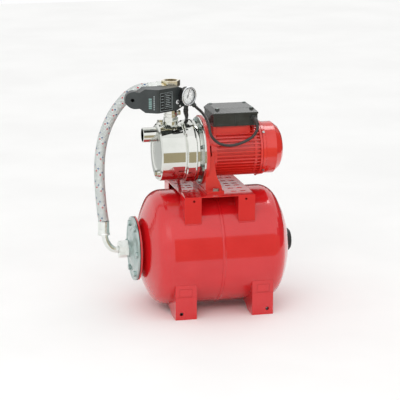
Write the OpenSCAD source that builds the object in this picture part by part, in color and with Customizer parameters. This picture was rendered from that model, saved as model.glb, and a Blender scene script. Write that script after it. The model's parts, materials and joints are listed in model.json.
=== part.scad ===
// Domestic water booster set: a self-priming jet pump on a horizontal
// pressure tank, with a flexible hose, a pump controller and a gauge.
// Millimetres. +Z up, floor at Z = 0, pump and tank axes along X,
// suction side towards -X, origin at the middle of the footprint.

/* [Pressure tank] */
// Outer radius of the tank
tank_r = 140; // [125:1:160]
// Sheet thickness of the tank
tank_wall = 2; // [1.2:0.1:3]
// Half of the straight cylinder between the domed ends
tank_half = 120; // [105:1:140]
// Crown radius of the domed ends
crown_r = 240; // [200:5:280]
// Knuckle radius where a dome turns into the cylinder
knuckle_r = 40; // [35:1:55]
// Gap between the tank's belly and the floor
belly_gap = 11; // [6:1:25]
// Radius of the bladder flange
flange_r = 77.7; // [72:0.1:90]
// Thickness of the zinc-plated flange plate
flange_t = 3; // [2:0.5:5]
// Thickness of the welded counter flange
counter_t = 4; // [3:0.5:6]
// Radius of the neck that carries the counter flange
neck_r = 54; // [50:1:56]
// Bolt circle radius of the bladder flange
flange_bolt_r = 64; // [62:0.5:66]
// How far the tank's middle lies from the middle of the feet, towards the flange
tank_shift = 4; // [0:0.5:8]
// Number of bladder flange bolts
flange_bolts_n = 6; // [4:1:8]
// Radius of the round black cap over the air valve
cap_r = 28; // [22:1:34]
// Height of the air valve cap
cap_h = 13.36; // [10:0.02:18]

/* [Tank feet and pump plate] */
// Distance between the front and rear foot plates
foot_span_y = 248; // [236:1:256]
// Distance between left and right feet
foot_span_x = 189; // [160:1:210]
// Width of one foot
foot_w = 52; // [40:1:70]
// Sheet thickness of feet and pump plate
sheet_t = 2.5; // [2:0.1:4]
// Radius of the hold-down hole in each foot
foot_hole_r = 4.5; // [3:0.25:6]
// Height of the hold-down holes above the floor
foot_hole_z = 14.5; // [10:0.5:25]
// Distance between the left and right hold-down holes
foot_hole_dx = 212; // [200:1:225]
// Length of the pump plate along X
plate_l = 172; // [160:1:180]
// Width of the pump plate along Y
plate_w = 228; // [210:1:240]
// Height of the pump plate's top above the tank axis
plate_h = 146.7; // [144:0.1:156]
// Width of one leg of the pump plate
leg_w = 41; // [30:1:50]
// Radius of the hole in each leg
leg_hole_r = 2.75; // [2:0.25:4]

/* [Pump] */
// Height of the pump axis above the plate
axis_h = 88.8; // [87:0.1:95]
// Radius of the front part of the stainless body
body_r = 69.3; // [67:0.1:72]
// How much larger the rear part of the body is
body_step = 5.4; // [3:0.1:6]
// Sheet thickness of the stainless body
body_wall = 2; // [1.2:0.1:2.5]
// Distance from the body's flange to its front face
body_l = 105.7; // [104:0.1:116]
// Radius of the body's flange
body_flange_r = 81.7; // [80.5:0.1:83.5]
// Radius of the bolt circle of the body's flange
body_bolt_r = 73; // [72.5:0.1:74]
// Number of body bolts
body_bolts_n = 8; // [6:1:10]
// Height of the suction port above the pump axis
suction_z = 43.5; // [40:0.5:46]
// Outer radius of the suction port
port_r = 17.9; // [17.5:0.1:19.5]
// Inner radius of the one inch female ports
port_bore_r = 15.15; // [14:0.05:15.5]
// Length of the suction port
suction_l = 32.3; // [20:0.1:45]
// Outer radius of the impeller
impeller_r = 50; // [40:1:52]
// Shaft radius at the bearings and the impeller
shaft_r = 6; // [5:0.25:6.5]
// Radial running clearance of the shaft
run_gap = 0.03; // [0.02:0.01:0.06]

/* [Motor] */
// Outer radius over the cooling fins
fin_r = 64; // [62.5:0.5:66]
// Height of the cooling fins
fin_h = 5.5; // [3:0.5:6.5]
// Number of cooling fins
fins_n = 44; // [30:2:54]
// Length of the finned motor housing
motor_l = 114; // [110:1:130]
// Bore radius of the housing, where the stator sits
stator_r = 54; // [50:0.5:54.5]
// Radius of the rotor core
rotor_r = 30; // [24:0.5:32]
// Air gap between rotor and stator
air_gap = 0.5; // [0.4:0.1:1]
// Length of the fan cover
cover_l = 60.5; // [56:0.5:75]
// Outer radius of the fan cover
cover_r = 63; // [62:0.5:66]
// Outer radius of the fan
fan_r = 52; // [40:1:55]

/* [Terminal box] */
// Length of the terminal box
box_l = 108; // [100:1:115]
// Width of the terminal box
box_w = 95; // [90:1:100]
// Height of the box up to its lid
box_h = 28; // [26:0.5:32]
// Height of the lid
lid_h = 13; // [12:0.5:18]
// Wall of box and lid
box_wall = 2.5; // [2:0.1:3]

/* [Controller and gauge] */
// Half height of the controller at its crease
ctrl_half_h = 28; // [25:0.5:30]
// Angle between each front face and the back plane
ctrl_angle = 31; // [28:0.5:33]
// Wall of the controller's shells
ctrl_wall = 2.5; // [2:0.1:3]
// Outer radius of the pressure gauge
gauge_r = 22.5; // [20:0.5:22.5]
// Depth of the gauge case
gauge_h = 14; // [12:0.5:18]
// Radius of the restart button
button_r = 3; // [2.5:0.1:3.2]

/* [Hose and cables] */
// Outer diameter of the braided hose
hose_d = 26; // [24:0.5:28]
// Diameter of the motor lead
lead_d = 7; // [6:0.5:8]
// Diameter of the mains lead
mains_d = 8; // [7:0.5:9]

/* [Hidden] */
$fn = 48;

// Clearances
slip = 0.3;      // between pieces that move apart
fit = 0.05;      // a bolt or stem in its hole

// Where the assembly stands on the row axes
ctrl_reach = 221;                                // tank middle to the controller's left end
dome_depth = crown_r - sqrt(pow(crown_r - knuckle_r, 2) - pow(tank_r - knuckle_r, 2));
tank_end = tank_half + dome_depth;               // tank middle to the tip of a dome
cap_drop = crown_r - sqrt(pow(crown_r, 2) - pow(cap_r, 2));
cap_x = tank_end - cap_drop + slip;              // where the cap's rim stands
lip_t = 2;                                       // clamped lip of the bladder
neck_x = tank_end - 0.8;                         // neck's outer face, from the tank middle
plate_back = neck_x + counter_t + lip_t;         // rear face of the zinc plate
plate_front = plate_back + flange_t;
hub_l = 216.893 - plate_front;                   // hub and nipple in front of the zinc plate
left_reach = max(ctrl_reach, plate_front + hub_l + tank_shift);
x0 = (left_reach + tank_shift - cap_x - cap_h) / 2;  // middle of the feet in the row frame
tank_x = x0 - tank_shift;                        // tank middle in the row frame
tank_z = tank_r + belly_gap;
plate_z = tank_z + plate_h;
axis_z = plate_z + axis_h;
flange_x = x0 - 35.5;                            // rear face of the stainless flange
body_flange_t = 2.5;
seal_plate_t = 2;
bracket_x = flange_x + seal_plate_t;             // front face of the cast bracket
bracket_flange_t = 10.5;
motor_x = x0 - 10;                               // front face of the motor housing
shield_x = motor_x + motor_l;
fan_x = shield_x + 22;
root_r = fin_r - fin_h;
front_x = flange_x - body_l;                     // flat front face of the pump
bead1_x = flange_x - 45;
bead2_x = flange_x - 20;
nipple_x = x0 - 103.5;                           // discharge port, nipple and fitting
box_z = axis_z + fin_r + 1.5;
box_x = x0 - 10;
box_y = -50;
ctrl_z = axis_z + 137;                          // middle of the controller's height
crease_x = x0 - 151;
crease_y = -78;
ctrl_back_y = -22;
ctrl_split_y = -32;
bearing_r = 16;
bearing_w = 10;

// ---------- helpers ----------

module on_x(x, z) {
    translate([x, 0, z])
        rotate([0, 90, 0])
            children();
}

// A turned piece about an axis along X: points are [along the axis, radius]
module turned(x, z, points, sides = 96) {
    on_x(x, z)
        rotate_extrude($fn = sides)
            polygon([for (p = points) [p[1], p[0]]]);
}

module ring(h, outer, inner) {
    difference() {
        cylinder(h = h, r = outer, $fn = 96);
        translate([0, 0, -1])
            cylinder(h = h + 2, r = inner, $fn = 96);
    }
}

module hexagon(h, across) {
    cylinder(h = h, d = across / cos(30), $fn = 6);
}

// A hexagon bolt along +Z with its head's seat at Z = 0
module hex_bolt(across, head_h, shank_r, shank_l) {
    union() {
        translate([0, 0, -head_h])
            hexagon(head_h, across);
        translate([0, 0, -0.01])
            cylinder(h = shank_l, r = shank_r);
    }
}

module slot_prism(length, width, depth) {
    union() {
        translate([-(length - width) / 2, -width / 2, 0])
            cube([length - width, width, depth]);
        for (s = [-1, 1])
            translate([s * (length - width) / 2, 0, 0])
                cylinder(h = depth, d = width, $fn = 24);
    }
}

// Dome outline from radius r_start to the cylinder, [along the axis, radius]
function dome(r, crown, knuckle, r_start, steps = 7) =
    let (depth = crown - sqrt(pow(crown - knuckle, 2) - pow(r - knuckle, 2)),
         turn = asin((r - knuckle) / (crown - knuckle)),
         first = asin(r_start / crown))
    concat(
        [for (i = [0 : steps]) let (a = first + (turn - first) * i / steps)
            [depth - crown + crown * cos(a), crown * sin(a)]],
        [for (i = [1 : steps]) let (a = turn + (90 - turn) * i / steps)
            [knuckle * cos(a), r - knuckle + knuckle * sin(a)]]);

function reversed(list) = [for (i = [len(list) - 1 : -1 : 0]) list[i]];

// Sweeps a round section of n sides along points, as one closed polyhedron
function unit(v) = v / norm(v);
function tangent(p, i) = unit(p[min(i + 1, len(p) - 1)] - p[max(i - 1, 0)]);
function side_of(t) = unit(cross(abs(t[1]) > 0.9 ? [1, 0, 0] : [0, 1, 0], t));
function ring_points(p, i, r, n, t) =
    let (u = side_of(t), v = cross(t, u))
    [for (k = [0 : n - 1]) p[i] + r * (cos(360 * k / n) * u + sin(360 * k / n) * v)];

module swept(points, r, n = 8, first = undef, last = undef) {
    m = len(points);
    verts = [for (i = [0 : m - 1])
        let (t = i == 0 && first != undef ? first
               : i == m - 1 && last != undef ? last : tangent(points, i))
        each ring_points(points, i, r, n, t)];
    sides = [for (i = [0 : m - 2], k = [0 : n - 1])
        [i * n + k, (i + 1) * n + k, (i + 1) * n + (k + 1) % n, i * n + (k + 1) % n]];
    caps = [[for (k = [0 : n - 1]) k], [for (k = [n - 1 : -1 : 0]) (m - 1) * n + k]];
    polyhedron(points = verts, faces = concat(sides, caps), convexity = 8);
}

// Smooth curve through hand-chosen points, with s steps in each stretch
function spline_at(a, b, c, d, t) =
    0.5 * ((2 * b) + (c - a) * t + (2 * a - 5 * b + 4 * c - d) * t * t
        + (3 * b - a - 3 * c + d) * t * t * t);
function smooth(p, s) = concat(
    [for (i = [0 : len(p) - 2], k = [0 : s - 1])
        spline_at(p[max(i - 1, 0)], p[i], p[i + 1], p[min(i + 2, len(p) - 1)], k / s)],
    [p[len(p) - 1]]);

// ---------- routes of the hose and the cables ----------

// The hose bows to one side, which leaves the way to the suction port free
hose_route = [[-147, 0, 543], [-158, 0, 543], [-171, 1, 540], [-185, 4, 532],
    [-200, 10, 519], [-223, 22, 486], [-241, 31, 447], [-252, 34, 410],
    [-259, 30, 370], [-262, 21, 330], [-262, 11, 290], [-260, 3, 250], [-257, 0, 224]];
elbow_route = [[-255, 0, 190], [-253, 0, 178], [-248, 0, 166], [-239, 0, 155],
    [-229, 0, 151], [-214, 0, 151]];
motor_lead_route = [[101, -64, 470], [102, -70, 467], [104, -74, 458], [103, -76, 445],
    [91, -77, 429], [67, -78, 417], [40, -78, 411], [15, -78, 415], [-2, -79, 427],
    [-11, -79, 441], [-13, -72, 458], [-15, -56, 472], [-21, -30, 485],
    [-27, -12, 491], [-33, -8, 497]];
mains_lead_route = [[-52, 6, 487.7], [-52, 8, 480], [-48, 18, 470], [-43, 40, 457],
    [-41, 66, 436], [-41, 84, 404], [-43, 90, 370], [-45, 102, 335],
    [-47, 121, 305], [-49, 128, 270], [-51, 138, 225], [-53, 148, 180],
    [-55, 150, 140], [-55, 150, 90], [-56, 150, 50], [-60, 152, 24],
    [-68, 157, 9], [-77, 167, 5], [-83.5, 182, 5], [-85.5, 201.5, 5]];
coil_at = [-35, 230.1];
coil_mid_r = 46;

// ---------- pressure tank ----------

module half_shell(open_r) {
    outer = dome(tank_r, crown_r, knuckle_r, open_r);
    inner = dome(tank_r - tank_wall, crown_r - tank_wall, knuckle_r - tank_wall, open_r);
    rotate_extrude($fn = 128)
        polygon(concat(
            [for (p = outer) [p[1], p[0] + tank_half]], [[tank_r, 0], [tank_r - tank_wall, 0]],
            [for (p = reversed(inner)) [p[1], p[0] + tank_half]]));
}

function dome_x(r) = tank_half + dome_depth - crown_r + sqrt(pow(crown_r, 2) - pow(r, 2));

module tank_shell_left() {
    color("crimson")
        union() {
            translate([tank_x, 0, tank_z])
                rotate([0, -90, 0])
                    half_shell(neck_r - 4);
            turned(tank_x, tank_z, [[-neck_x, neck_r], [-neck_x, neck_r - 4],
                [-dome_x(neck_r) + tank_wall + 2, neck_r - 4], [-dome_x(neck_r) + 1, neck_r]]);
        }
}

module tank_shell_right() {
    color("crimson")
        union() {
            on_x(tank_x, tank_z)
                half_shell(valve_r);
            turned(tank_x, tank_z, [[-4, tank_r], [-2.5, tank_r + 1], [0, tank_r + 1.5],
                [2.5, tank_r + 1], [4, tank_r]]);
        }
}

valve_r = 5;
module flange_holes(x, depth, r) {
    for (i = [0 : flange_bolts_n - 1])
        on_x(x, tank_z)
            rotate([0, 0, 30 + 360 / flange_bolts_n * i])
                translate([flange_bolt_r, 0, -1])
                    cylinder(h = depth + 2, r = r);
}

module counter_flange() {
    color("firebrick")
        difference() {
            on_x(tank_x - neck_x - counter_t, tank_z)
                ring(counter_t, flange_r, neck_r - 4);
            flange_holes(tank_x - neck_x - counter_t, counter_t, 4);
        }
}

module flange_plate() {
    hub = [[-plate_back, 12.5], [-plate_back, flange_r], [-plate_front - 1.2, flange_r],
        [-plate_front - 1.2, flange_r - 4], [-plate_front, flange_r - 6],
        [-plate_front, 50], [-plate_front - 4.5, 42], [-plate_front - 6, 30],
        [-plate_front - 8, 24], [-plate_front - 9.5, 21], [-plate_front - hub_l + 9.5, 21],
        [-plate_front - hub_l + 9.5, 16.8 - fit], [-plate_front - hub_l, 16.8 - fit],
        [-plate_front - hub_l, 12.5]];
    color("lightgray")
        difference() {
            turned(tank_x, tank_z, hub);
            flange_holes(tank_x - plate_front - 2, flange_t + 2, 4.3);
        }
}

module flange_bolts() {
    color("silver")
        for (i = [0 : flange_bolts_n - 1])
            on_x(tank_x - plate_front, tank_z)
                rotate([0, 0, 30 + 360 / flange_bolts_n * i])
                    translate([flange_bolt_r, 0, 0])
                        hex_bolt(13, 5.5, 4 - fit, flange_t + lip_t + counter_t);
}

bag_a = 162;                                     // half length of the bladder's bag
bag_r = 112;
bag_x = -20;
module tank_bladder() {
    bag_neck = neck_r - 8;
    bag_wall = 2.5;
    first = asin(bag_neck / bag_r);
    color("dimgray")
        difference() {
            turned(tank_x, tank_z, concat([[-plate_back, bag_neck - bag_wall], [-plate_back, flange_r - 1],
                [-plate_back + lip_t, flange_r - 1], [-plate_back + lip_t, bag_neck]],
                [for (i = [0 : 14]) let (a = 180 - first - (180 - first) * i / 14)
                    [bag_x + bag_a * cos(a), bag_r * sin(a)]],
                [for (i = [14 : -1 : 0]) let (a = 180 - first - (180 - first) * i / 14)
                    [bag_x + (bag_a - bag_wall) * cos(a), (bag_r - bag_wall) * sin(a)]]));
            flange_holes(tank_x - plate_back, lip_t, 4.3);
        }
}

module air_valve_body() {
    stem = tank_end + 7.5;
    color("goldenrod")
        turned(tank_x, tank_z, [[tank_end - 6, 1.6], [tank_end - 6, 7.5], [tank_end - tank_wall - 0.2, 7.5],
            [tank_end - tank_wall - 0.2, valve_r - fit], [tank_end + slip, valve_r - fit],
            [tank_end + slip, 8], [tank_end + 4, 8], [tank_end + 5, 4], [stem, 4], [stem, 1.6]], 48);
}

module air_valve_core() {
    color("gold")
        on_x(tank_x + tank_end - 4, tank_z)
            union() {
                cylinder(h = 11, r = 1, $fn = 24);
                translate([0, 0, 9.5])
                    cylinder(h = 1.5, r = 1.4, $fn = 24);
            }
}

module air_valve_cap() {
    color("black")
        turned(tank_x + cap_x, tank_z, [[0, cap_r - 2.5], [0, cap_r], [cap_h - 4, cap_r - 0.5],
            [cap_h, cap_r - 5], [cap_h, 12], [cap_h - 1, 11], [cap_h - 1, 0],
            [cap_h - 3, 0], [cap_h - 3, cap_r - 6]]);
}

// ---------- feet and pump plate ----------

// One foot: a front plate with two side flanges, scooped by the tank
module foot(side_x, side_y) {
    plate_y = foot_span_y / 2;
    foot_h = tank_z - sqrt(pow(tank_r, 2) - pow(plate_y, 2)) + 8;
    color("crimson")
        translate([x0 + side_x * foot_span_x / 2, 0, 0])
            scale([side_x, side_y, 1])
                difference() {
                    union() {
                        translate([-foot_w / 2, plate_y - sheet_t, 0])
                            cube([foot_w, sheet_t, tank_z - sqrt(pow(tank_r, 2) - pow(plate_y, 2)) ]);
                        for (s = [-1, 1])
                            translate([s * (foot_w - sheet_t) / 2 - sheet_t / 2, 0, 0])
                                rotate([90, 0, 90])
                                    linear_extrude(sheet_t)
                                        polygon([[plate_y, 0], [plate_y - 40, 0], [plate_y - 52, 4],
                                            [plate_y - 66, 12], [plate_y - 95, 16],
                                            [plate_y - 95, 30], [plate_y, foot_h]]);
                    }
                    on_x(-foot_w, tank_z)
                        cylinder(h = 2 * foot_w, r = tank_r, $fn = 128);
                    translate([(foot_hole_dx - foot_span_x) / 2, plate_y - sheet_t - 1, foot_hole_z])
                        rotate([-90, 0, 0])
                            cylinder(h = sheet_t + 2, r = foot_hole_r);
                    translate([-14, plate_y - 0.8, 58])
                        difference() {
                            translate([-1, 0, -1])
                                cube([32, 2, 20]);
                            translate([0.5, -1, 0.5])
                                cube([29, 4, 17]);
                        }
                    translate([-foot_w / 2 - 1, plate_y - 0.5, 55])
                        cube([foot_w + 2, 1, 0.8]);
                }
}

module foot_front_left() {
    foot(-1, -1);
}
module foot_front_right() {
    foot(1, -1);
}
module foot_rear_left() {
    foot(-1, 1);
}
module foot_rear_right() {
    foot(1, 1);
}

plate_x = x0 - 95.4;                             // left edge of the pump plate
pad_bolt_x = x0 - 11;                            // foot bolts of the motor bracket
pad_bolt_y = 79;
module pump_plate() {
    under = plate_z - sheet_t;
    leg_y = plate_w / 2;
    leg_foot = tank_z + sqrt(pow(tank_r, 2) - pow(leg_y, 2)) - 2;
    color("firebrick")
        difference() {
            union() {
                translate([plate_x, -leg_y, under])
                    cube([plate_l, plate_w, sheet_t]);
                for (s = [-1, 1], left = [plate_x, plate_x + plate_l - leg_w])
                    scale([1, s, 1])
                        translate([left, 0, 0]) {
                            translate([0, leg_y - sheet_t, leg_foot])
                                cube([leg_w, sheet_t, plate_z - leg_foot]);
                            for (e = [0, leg_w - sheet_t])
                                translate([e, 0, 0])
                                    rotate([90, 0, 90])
                                        linear_extrude(sheet_t)
                                            polygon([[leg_y, leg_foot], [leg_y, under + 1],
                                                [leg_y - 48, under + 1], [leg_y - 48, under - 30]]);
                        }
            }
            on_x(plate_x - 5, tank_z)
                cylinder(h = plate_l + 10, r = tank_r, $fn = 128);
            for (s = [-1, 1], hx = [plate_x + 23, plate_x + plate_l - 22])
                translate([hx, s * (leg_y + 1), plate_z - 10])
                    rotate([s * 90, 0, 0])
                        cylinder(h = sheet_t + 2, r = leg_hole_r);
            for (s = [-1, 1])
                translate([pad_bolt_x, s * pad_bolt_y, under - 1])
                    cylinder(h = sheet_t + 2, r = 4.3);
            for (hy = [-72, -40, -10, 10, 40, 72], hx = [16, 35, 130, 152])
                translate([plate_x + hx, hy, under - 1])
                    slot_prism(15, 7, sheet_t + 2);
        }
}

// ---------- pump ----------

port_hole = 14;
prime_x = front_x + 11.5;
prime_r = 6.5;
drain_y = -40;
drain_z = -42.5;
top_r = body_r + body_step;

function body_outline(shrink) = [
    [front_x + 2.5 + shrink, 0], [front_x + 2.5 + shrink, 40 - shrink / 2],
    [front_x + shrink, 44 - shrink / 2], [front_x + shrink, body_r - 9],
    [front_x + 1.5 + shrink, body_r - 4 - shrink / 2], [front_x + 5 + shrink / 2, body_r - shrink],
    [bead1_x - 2, body_r - shrink], [bead1_x, body_r + 2.4 - shrink], [bead1_x + 2, body_r + 1 - shrink],
    [bead1_x + 5, top_r - shrink], [bead2_x - 2, top_r - shrink], [bead2_x, top_r + 1.6 - shrink],
    [bead2_x + 2, top_r - shrink], [flange_x - 12, top_r - 1 - shrink], [flange_x - 7.5, 66 - shrink]];

module pump_body() {
    color("silver")
        difference() {
            union() {
                turned(0, axis_z, concat(body_outline(0),
                    [[flange_x - body_flange_t, 66], [flange_x - body_flange_t, body_flange_r],
                     [flange_x, body_flange_r], [flange_x, 66 - body_wall]],
                    reversed(body_outline(body_wall))), 128);
                translate([nipple_x, 0, axis_z + body_r - 6])
                    cylinder(h = 12, r = 16.8);
                translate([prime_x, 0, axis_z + body_r - 5.7])
                    cylinder(h = 7.7, r = prime_r + 2.5);
                translate([front_x - 3, drain_y, axis_z + drain_z])
                    rotate([0, 90, 0])
                        cylinder(h = 8, r = 9);
            }
            translate([nipple_x, 0, axis_z + body_r - 12])
                cylinder(h = 20, r = 15);
            translate([prime_x, 0, axis_z + body_r - 10])
                cylinder(h = 20, r = prime_r);
            translate([front_x - 5, drain_y, axis_z + drain_z])
                rotate([0, 90, 0])
                    cylinder(h = 14, r = 5);
            on_x(front_x - 5, axis_z + suction_z)
                cylinder(h = 20, r = port_hole);
            body_bolt_holes(flange_x - body_flange_t, body_flange_t, 3.3);
        }
}

module body_bolt_holes(x, depth, r) {
    for (i = [0 : body_bolts_n - 1])
        on_x(x, axis_z)
            rotate([0, 0, 27 + 360 / body_bolts_n * i])
                translate([body_bolt_r, 0, -1])
                    cylinder(h = depth + 2, r = r);
}

module suction_port() {
    color("silver")
        turned(0, axis_z + suction_z, [[front_x, port_hole], [front_x, port_r],
            [front_x - suction_l + 1, port_r], [front_x - suction_l, port_r - 0.8],
            [front_x - suction_l, port_bore_r], [front_x - 8, port_bore_r], [front_x - 8, port_hole]], 64);
}

module plug(hex_across, hex_h, collar_r, stem_r, stem_l) {
    union() {
        hexagon(hex_h, hex_across);
        cylinder(h = 2.5, r = collar_r);
        translate([0, 0, -stem_l])
            cylinder(h = stem_l + 1, r = stem_r);
    }
}

module priming_plug() {
    color("gainsboro")
        translate([prime_x, 0, axis_z + body_r + 2])
            plug(13, 8, prime_r + 2.3, prime_r - slip, 8);
}

module drain_plug() {
    color("gainsboro")
        translate([front_x - 3, drain_y, axis_z + drain_z])
            rotate([0, -90, 0])
                plug(12, 8, 8, 5 - slip, 7);
}

throat_x = front_x + 14;
module ejector() {
    color("ivory")
        union() {
            // Nozzle and venturi on the pump axis
            turned(0, axis_z, [[throat_x, 6], [throat_x, 16], [throat_x + 18, 16], [throat_x + 20, 10],
                [diffuser_x, 13], [diffuser_x, 10], [throat_x + 22, 5], [throat_x + 8, 4]], 48);
            // Inlet duct up to the suction port
            difference() {
                translate([throat_x + 1, -11, axis_z + 12])
                    cube([20, 22, suction_z]);
                translate([throat_x + 11, 0, axis_z + 17])
                    cylinder(h = suction_z - 9, r = 7.5);
                on_x(throat_x - 5, axis_z + suction_z)
                    cylinder(h = 14, r = 8);
            }
            on_x(front_x + body_wall + 0.2, axis_z + suction_z)
                ring(throat_x - front_x - body_wall + 1.5, 10.5, 8);
        }
}

diffuser_x = flange_x - 38;
module diffuser() {
    color("ivory")
        difference() {
            turned(0, axis_z, [[diffuser_x, 13], [diffuser_x, 60], [flange_x - slip, 60],
                [flange_x - slip, 55], [diffuser_x + 5, 55], [diffuser_x + 5, 13]]);
            for (i = [0 : 8])
                on_x(diffuser_x + 12, axis_z)
                    rotate([0, 0, 40 * i])
                        translate([48, -4, 0])
                            cube([20, 8, 14]);
        }
}

impeller_x = flange_x - 26;
module impeller() {
    color("goldenrod")
        union() {
            turned(0, axis_z, [[impeller_x + 10, shaft_r], [impeller_x + 10, impeller_r],
                [impeller_x + 12, impeller_r], [impeller_x + 12, 12], [impeller_x + 16, 11],
                [impeller_x + 16, shaft_r]]);
            turned(0, axis_z, [[impeller_x - 4, 15], [impeller_x - 4, 18], [impeller_x, 18],
                [impeller_x + 1.5, impeller_r], [impeller_x + 3, impeller_r], [impeller_x + 1.5, 15]]);
            turned(0, axis_z, [[impeller_x + 4, shaft_r], [impeller_x + 4, 10],
                [impeller_x + 10.5, 10], [impeller_x + 10.5, shaft_r]], 48);
            for (i = [0 : 5])
                on_x(impeller_x + 1.2, axis_z)
                    rotate([0, 0, 60 * i])
                        translate([12, 0, 0])
                            rotate([0, 0, 35])
                                translate([0, -1.2, 1])
                                    cube([impeller_r - 19, 2.4, 9]);
        }
}

module impeller_nut() {
    color("silver")
        on_x(impeller_x - 3, axis_z)
            difference() {
                hexagon(6.8, 17);
                translate([0, 0, -1])
                    cylinder(h = 9, r = shaft_r - 1);
            }
}

seal_x = impeller_x + 16;
module seal_head() {
    color("dimgray")
        turned(0, axis_z, [[seal_x, shaft_r], [seal_x, 10], [seal_x + 4, 10], [seal_x + 4, 11.5],
            [seat_x - 0.1, 11.5], [seat_x - 0.1, 8], [seal_x + 4.5, 8], [seal_x + 4.5, shaft_r]], 64);
}

seat_x = flange_x - 2.5;
module seal_seat() {
    color("lightgray")
        turned(0, axis_z, [[seat_x, 8], [seat_x, 13], [bracket_x, 13], [bracket_x, 8]], 64);
}

module seal_plate() {
    color("gainsboro")
        difference() {
            on_x(flange_x, axis_z)
                ring(seal_plate_t, body_flange_r, 13);
            body_bolt_holes(flange_x, seal_plate_t, 3.3);
        }
}

module body_o_ring() {
    color("black")
        on_x(flange_x - 1.6, axis_z)
            rotate_extrude($fn = 96)
                translate([62, 0])
                    circle(r = 1.5, $fn = 24);
}

module pump_bolts() {
    color("silver")
        union() {
            for (i = [0 : body_bolts_n - 1])
                on_x(flange_x - body_flange_t, axis_z)
                    rotate([0, 0, 27 + 360 / body_bolts_n * i])
                        translate([body_bolt_r, 0, 0])
                            hex_bolt(10, 4, 3 - fit, 13);
            for (s = [-1, 1])
                translate([pad_bolt_x, s * pad_bolt_y, plate_z + pad_t])
                    rotate([180, 0, 0])
                        hex_bolt(13, 5.5, 4 - fit, pad_t + sheet_t + 7);
            for (s = [-1, 1])
                translate([pad_bolt_x, s * pad_bolt_y, plate_z - sheet_t - 6.5])
                    difference() {
                        hexagon(6.5, 13);
                        translate([0, 0, -1])
                            cylinder(h = 9, r = 4);
                    }
        }
}

pad_t = 5;
lantern_x = bracket_x + bracket_flange_t;
module motor_bracket() {
    leg_y = 62;
    leg = [[bracket_x - 2, plate_z], [x0 + 7, plate_z], [x0 + 5, plate_z + 14], [x0 - 6, plate_z + 36],
        [x0 - 13, plate_z + 74], [x0 - 13, plate_z + 96], [bracket_x, plate_z + 96],
        [bracket_x, plate_z + 10]];
    color("red")
        difference() {
            union() {
                // Round flange, lantern and bearing hub
                turned(0, axis_z, [[bracket_x, 13], [bracket_x, 85], [lantern_x - 4, 85],
                    [lantern_x, 72], [lantern_x, fin_r], [motor_x, fin_r], [motor_x, stator_r],
                    [lantern_x, stator_r], [lantern_x, bearing_r + 6], [motor_x, bearing_r + 6],
                    [motor_x, bearing_r], [motor_x - bearing_w - 0.5, bearing_r],
                    [motor_x - bearing_w - 0.5, 13]], 128);
                // Foot: front and rear legs with a web between them
                for (s = [-1, 1])
                    translate([0, s * leg_y + 6, 0])
                        rotate([90, 0, 0])
                            linear_extrude(12)
                                polygon([for (p = leg) [p[0], p[1]]]);
                translate([bracket_x, -leg_y, plate_z])
                    cube([8, 2 * leg_y, 40]);
                translate([bracket_x - 2, -88, plate_z])
                    cube([x0 + 7 - bracket_x + 2, 176, pad_t]);
            }
            on_x(motor_x, axis_z)
                cylinder(h = 30, r = fin_r + slip);
            // Drain windows at both sides of the lantern
            for (s = [-1, 1])
                translate([lantern_x + 1.5, s * 60 - 12, axis_z - 2])
                    cube([3, 24, 24]);
            body_bolt_holes(bracket_x, 9, 3);
            for (s = [-1, 1])
                translate([pad_bolt_x, s * pad_bolt_y, plate_z - 1])
                    cylinder(h = pad_t + 2, r = 4.3);
        }
}

// ---------- motor ----------

tail_x = shield_x + 36;                          // rear end of the shaft
core_x = x0 + 16;
core_l = 64;
module motor_shaft() {
    color("silver")
        turned(0, axis_z, [[impeller_x - 3, 0], [impeller_x - 3, shaft_r - 1], [impeller_x + 3.8, shaft_r - 1],
            [impeller_x + 3.8, shaft_r], [motor_x + 0.5, shaft_r], [motor_x + 0.5, shaft_r + 2],
            [shield_x - 12, shaft_r + 2], [shield_x - 12, shaft_r], [tail_x, shaft_r], [tail_x, 0]], 64);
}

module bearing(x) {
    on_x(x, axis_z)
        difference() {
            ring(bearing_w, bearing_r, shaft_r + run_gap);
            for (z = [-1, bearing_w - 0.8])
                translate([0, 0, z])
                    ring(1.8, bearing_r - 2.5, shaft_r + 2.5);
        }
}

module ball_bearings() {
    color("silver")
        union() {
            bearing(motor_x - bearing_w);
            bearing(shield_x - bearing_w - 1);
        }
}

module rotor_core() {
    color("slategray")
        turned(0, axis_z, [[core_x - 5, shaft_r + 2], [core_x - 5, rotor_r - 2], [core_x, rotor_r - 2],
            [core_x, rotor_r], [core_x + core_l, rotor_r], [core_x + core_l, rotor_r - 2],
            [core_x + core_l + 5, rotor_r - 2], [core_x + core_l + 5, shaft_r + 2]]);
}

module stator_core() {
    color("slategray")
        on_x(core_x, axis_z)
            difference() {
                cylinder(h = core_l, r = stator_r, $fn = 96);
                translate([0, 0, -1])
                    cylinder(h = core_l + 2, r = rotor_r + air_gap, $fn = 96);
                for (i = [0 : 23])
                    rotate([0, 0, 15 * i])
                        translate([rotor_r + 3, -1.6, -1])
                            cube([11, 3.2, core_l + 2]);
            }
}

module stator_windings() {
    head = [[0, rotor_r + 3], [0, rotor_r + 15], [-7, rotor_r + 14], [-10, rotor_r + 10],
        [-9, rotor_r + 5]];
    color("chocolate")
        union() {
            turned(core_x, axis_z, head);
            turned(core_x + core_l, axis_z, [for (p = head) [-p[0], p[1]]]);
            for (i = [0 : 23])
                on_x(core_x - 1, axis_z)
                    rotate([0, 0, 15 * i])
                        translate([rotor_r + 3.2, -1.4, 0])
                            cube([10.5, 2.8, core_l + 2]);
        }
}

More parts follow.
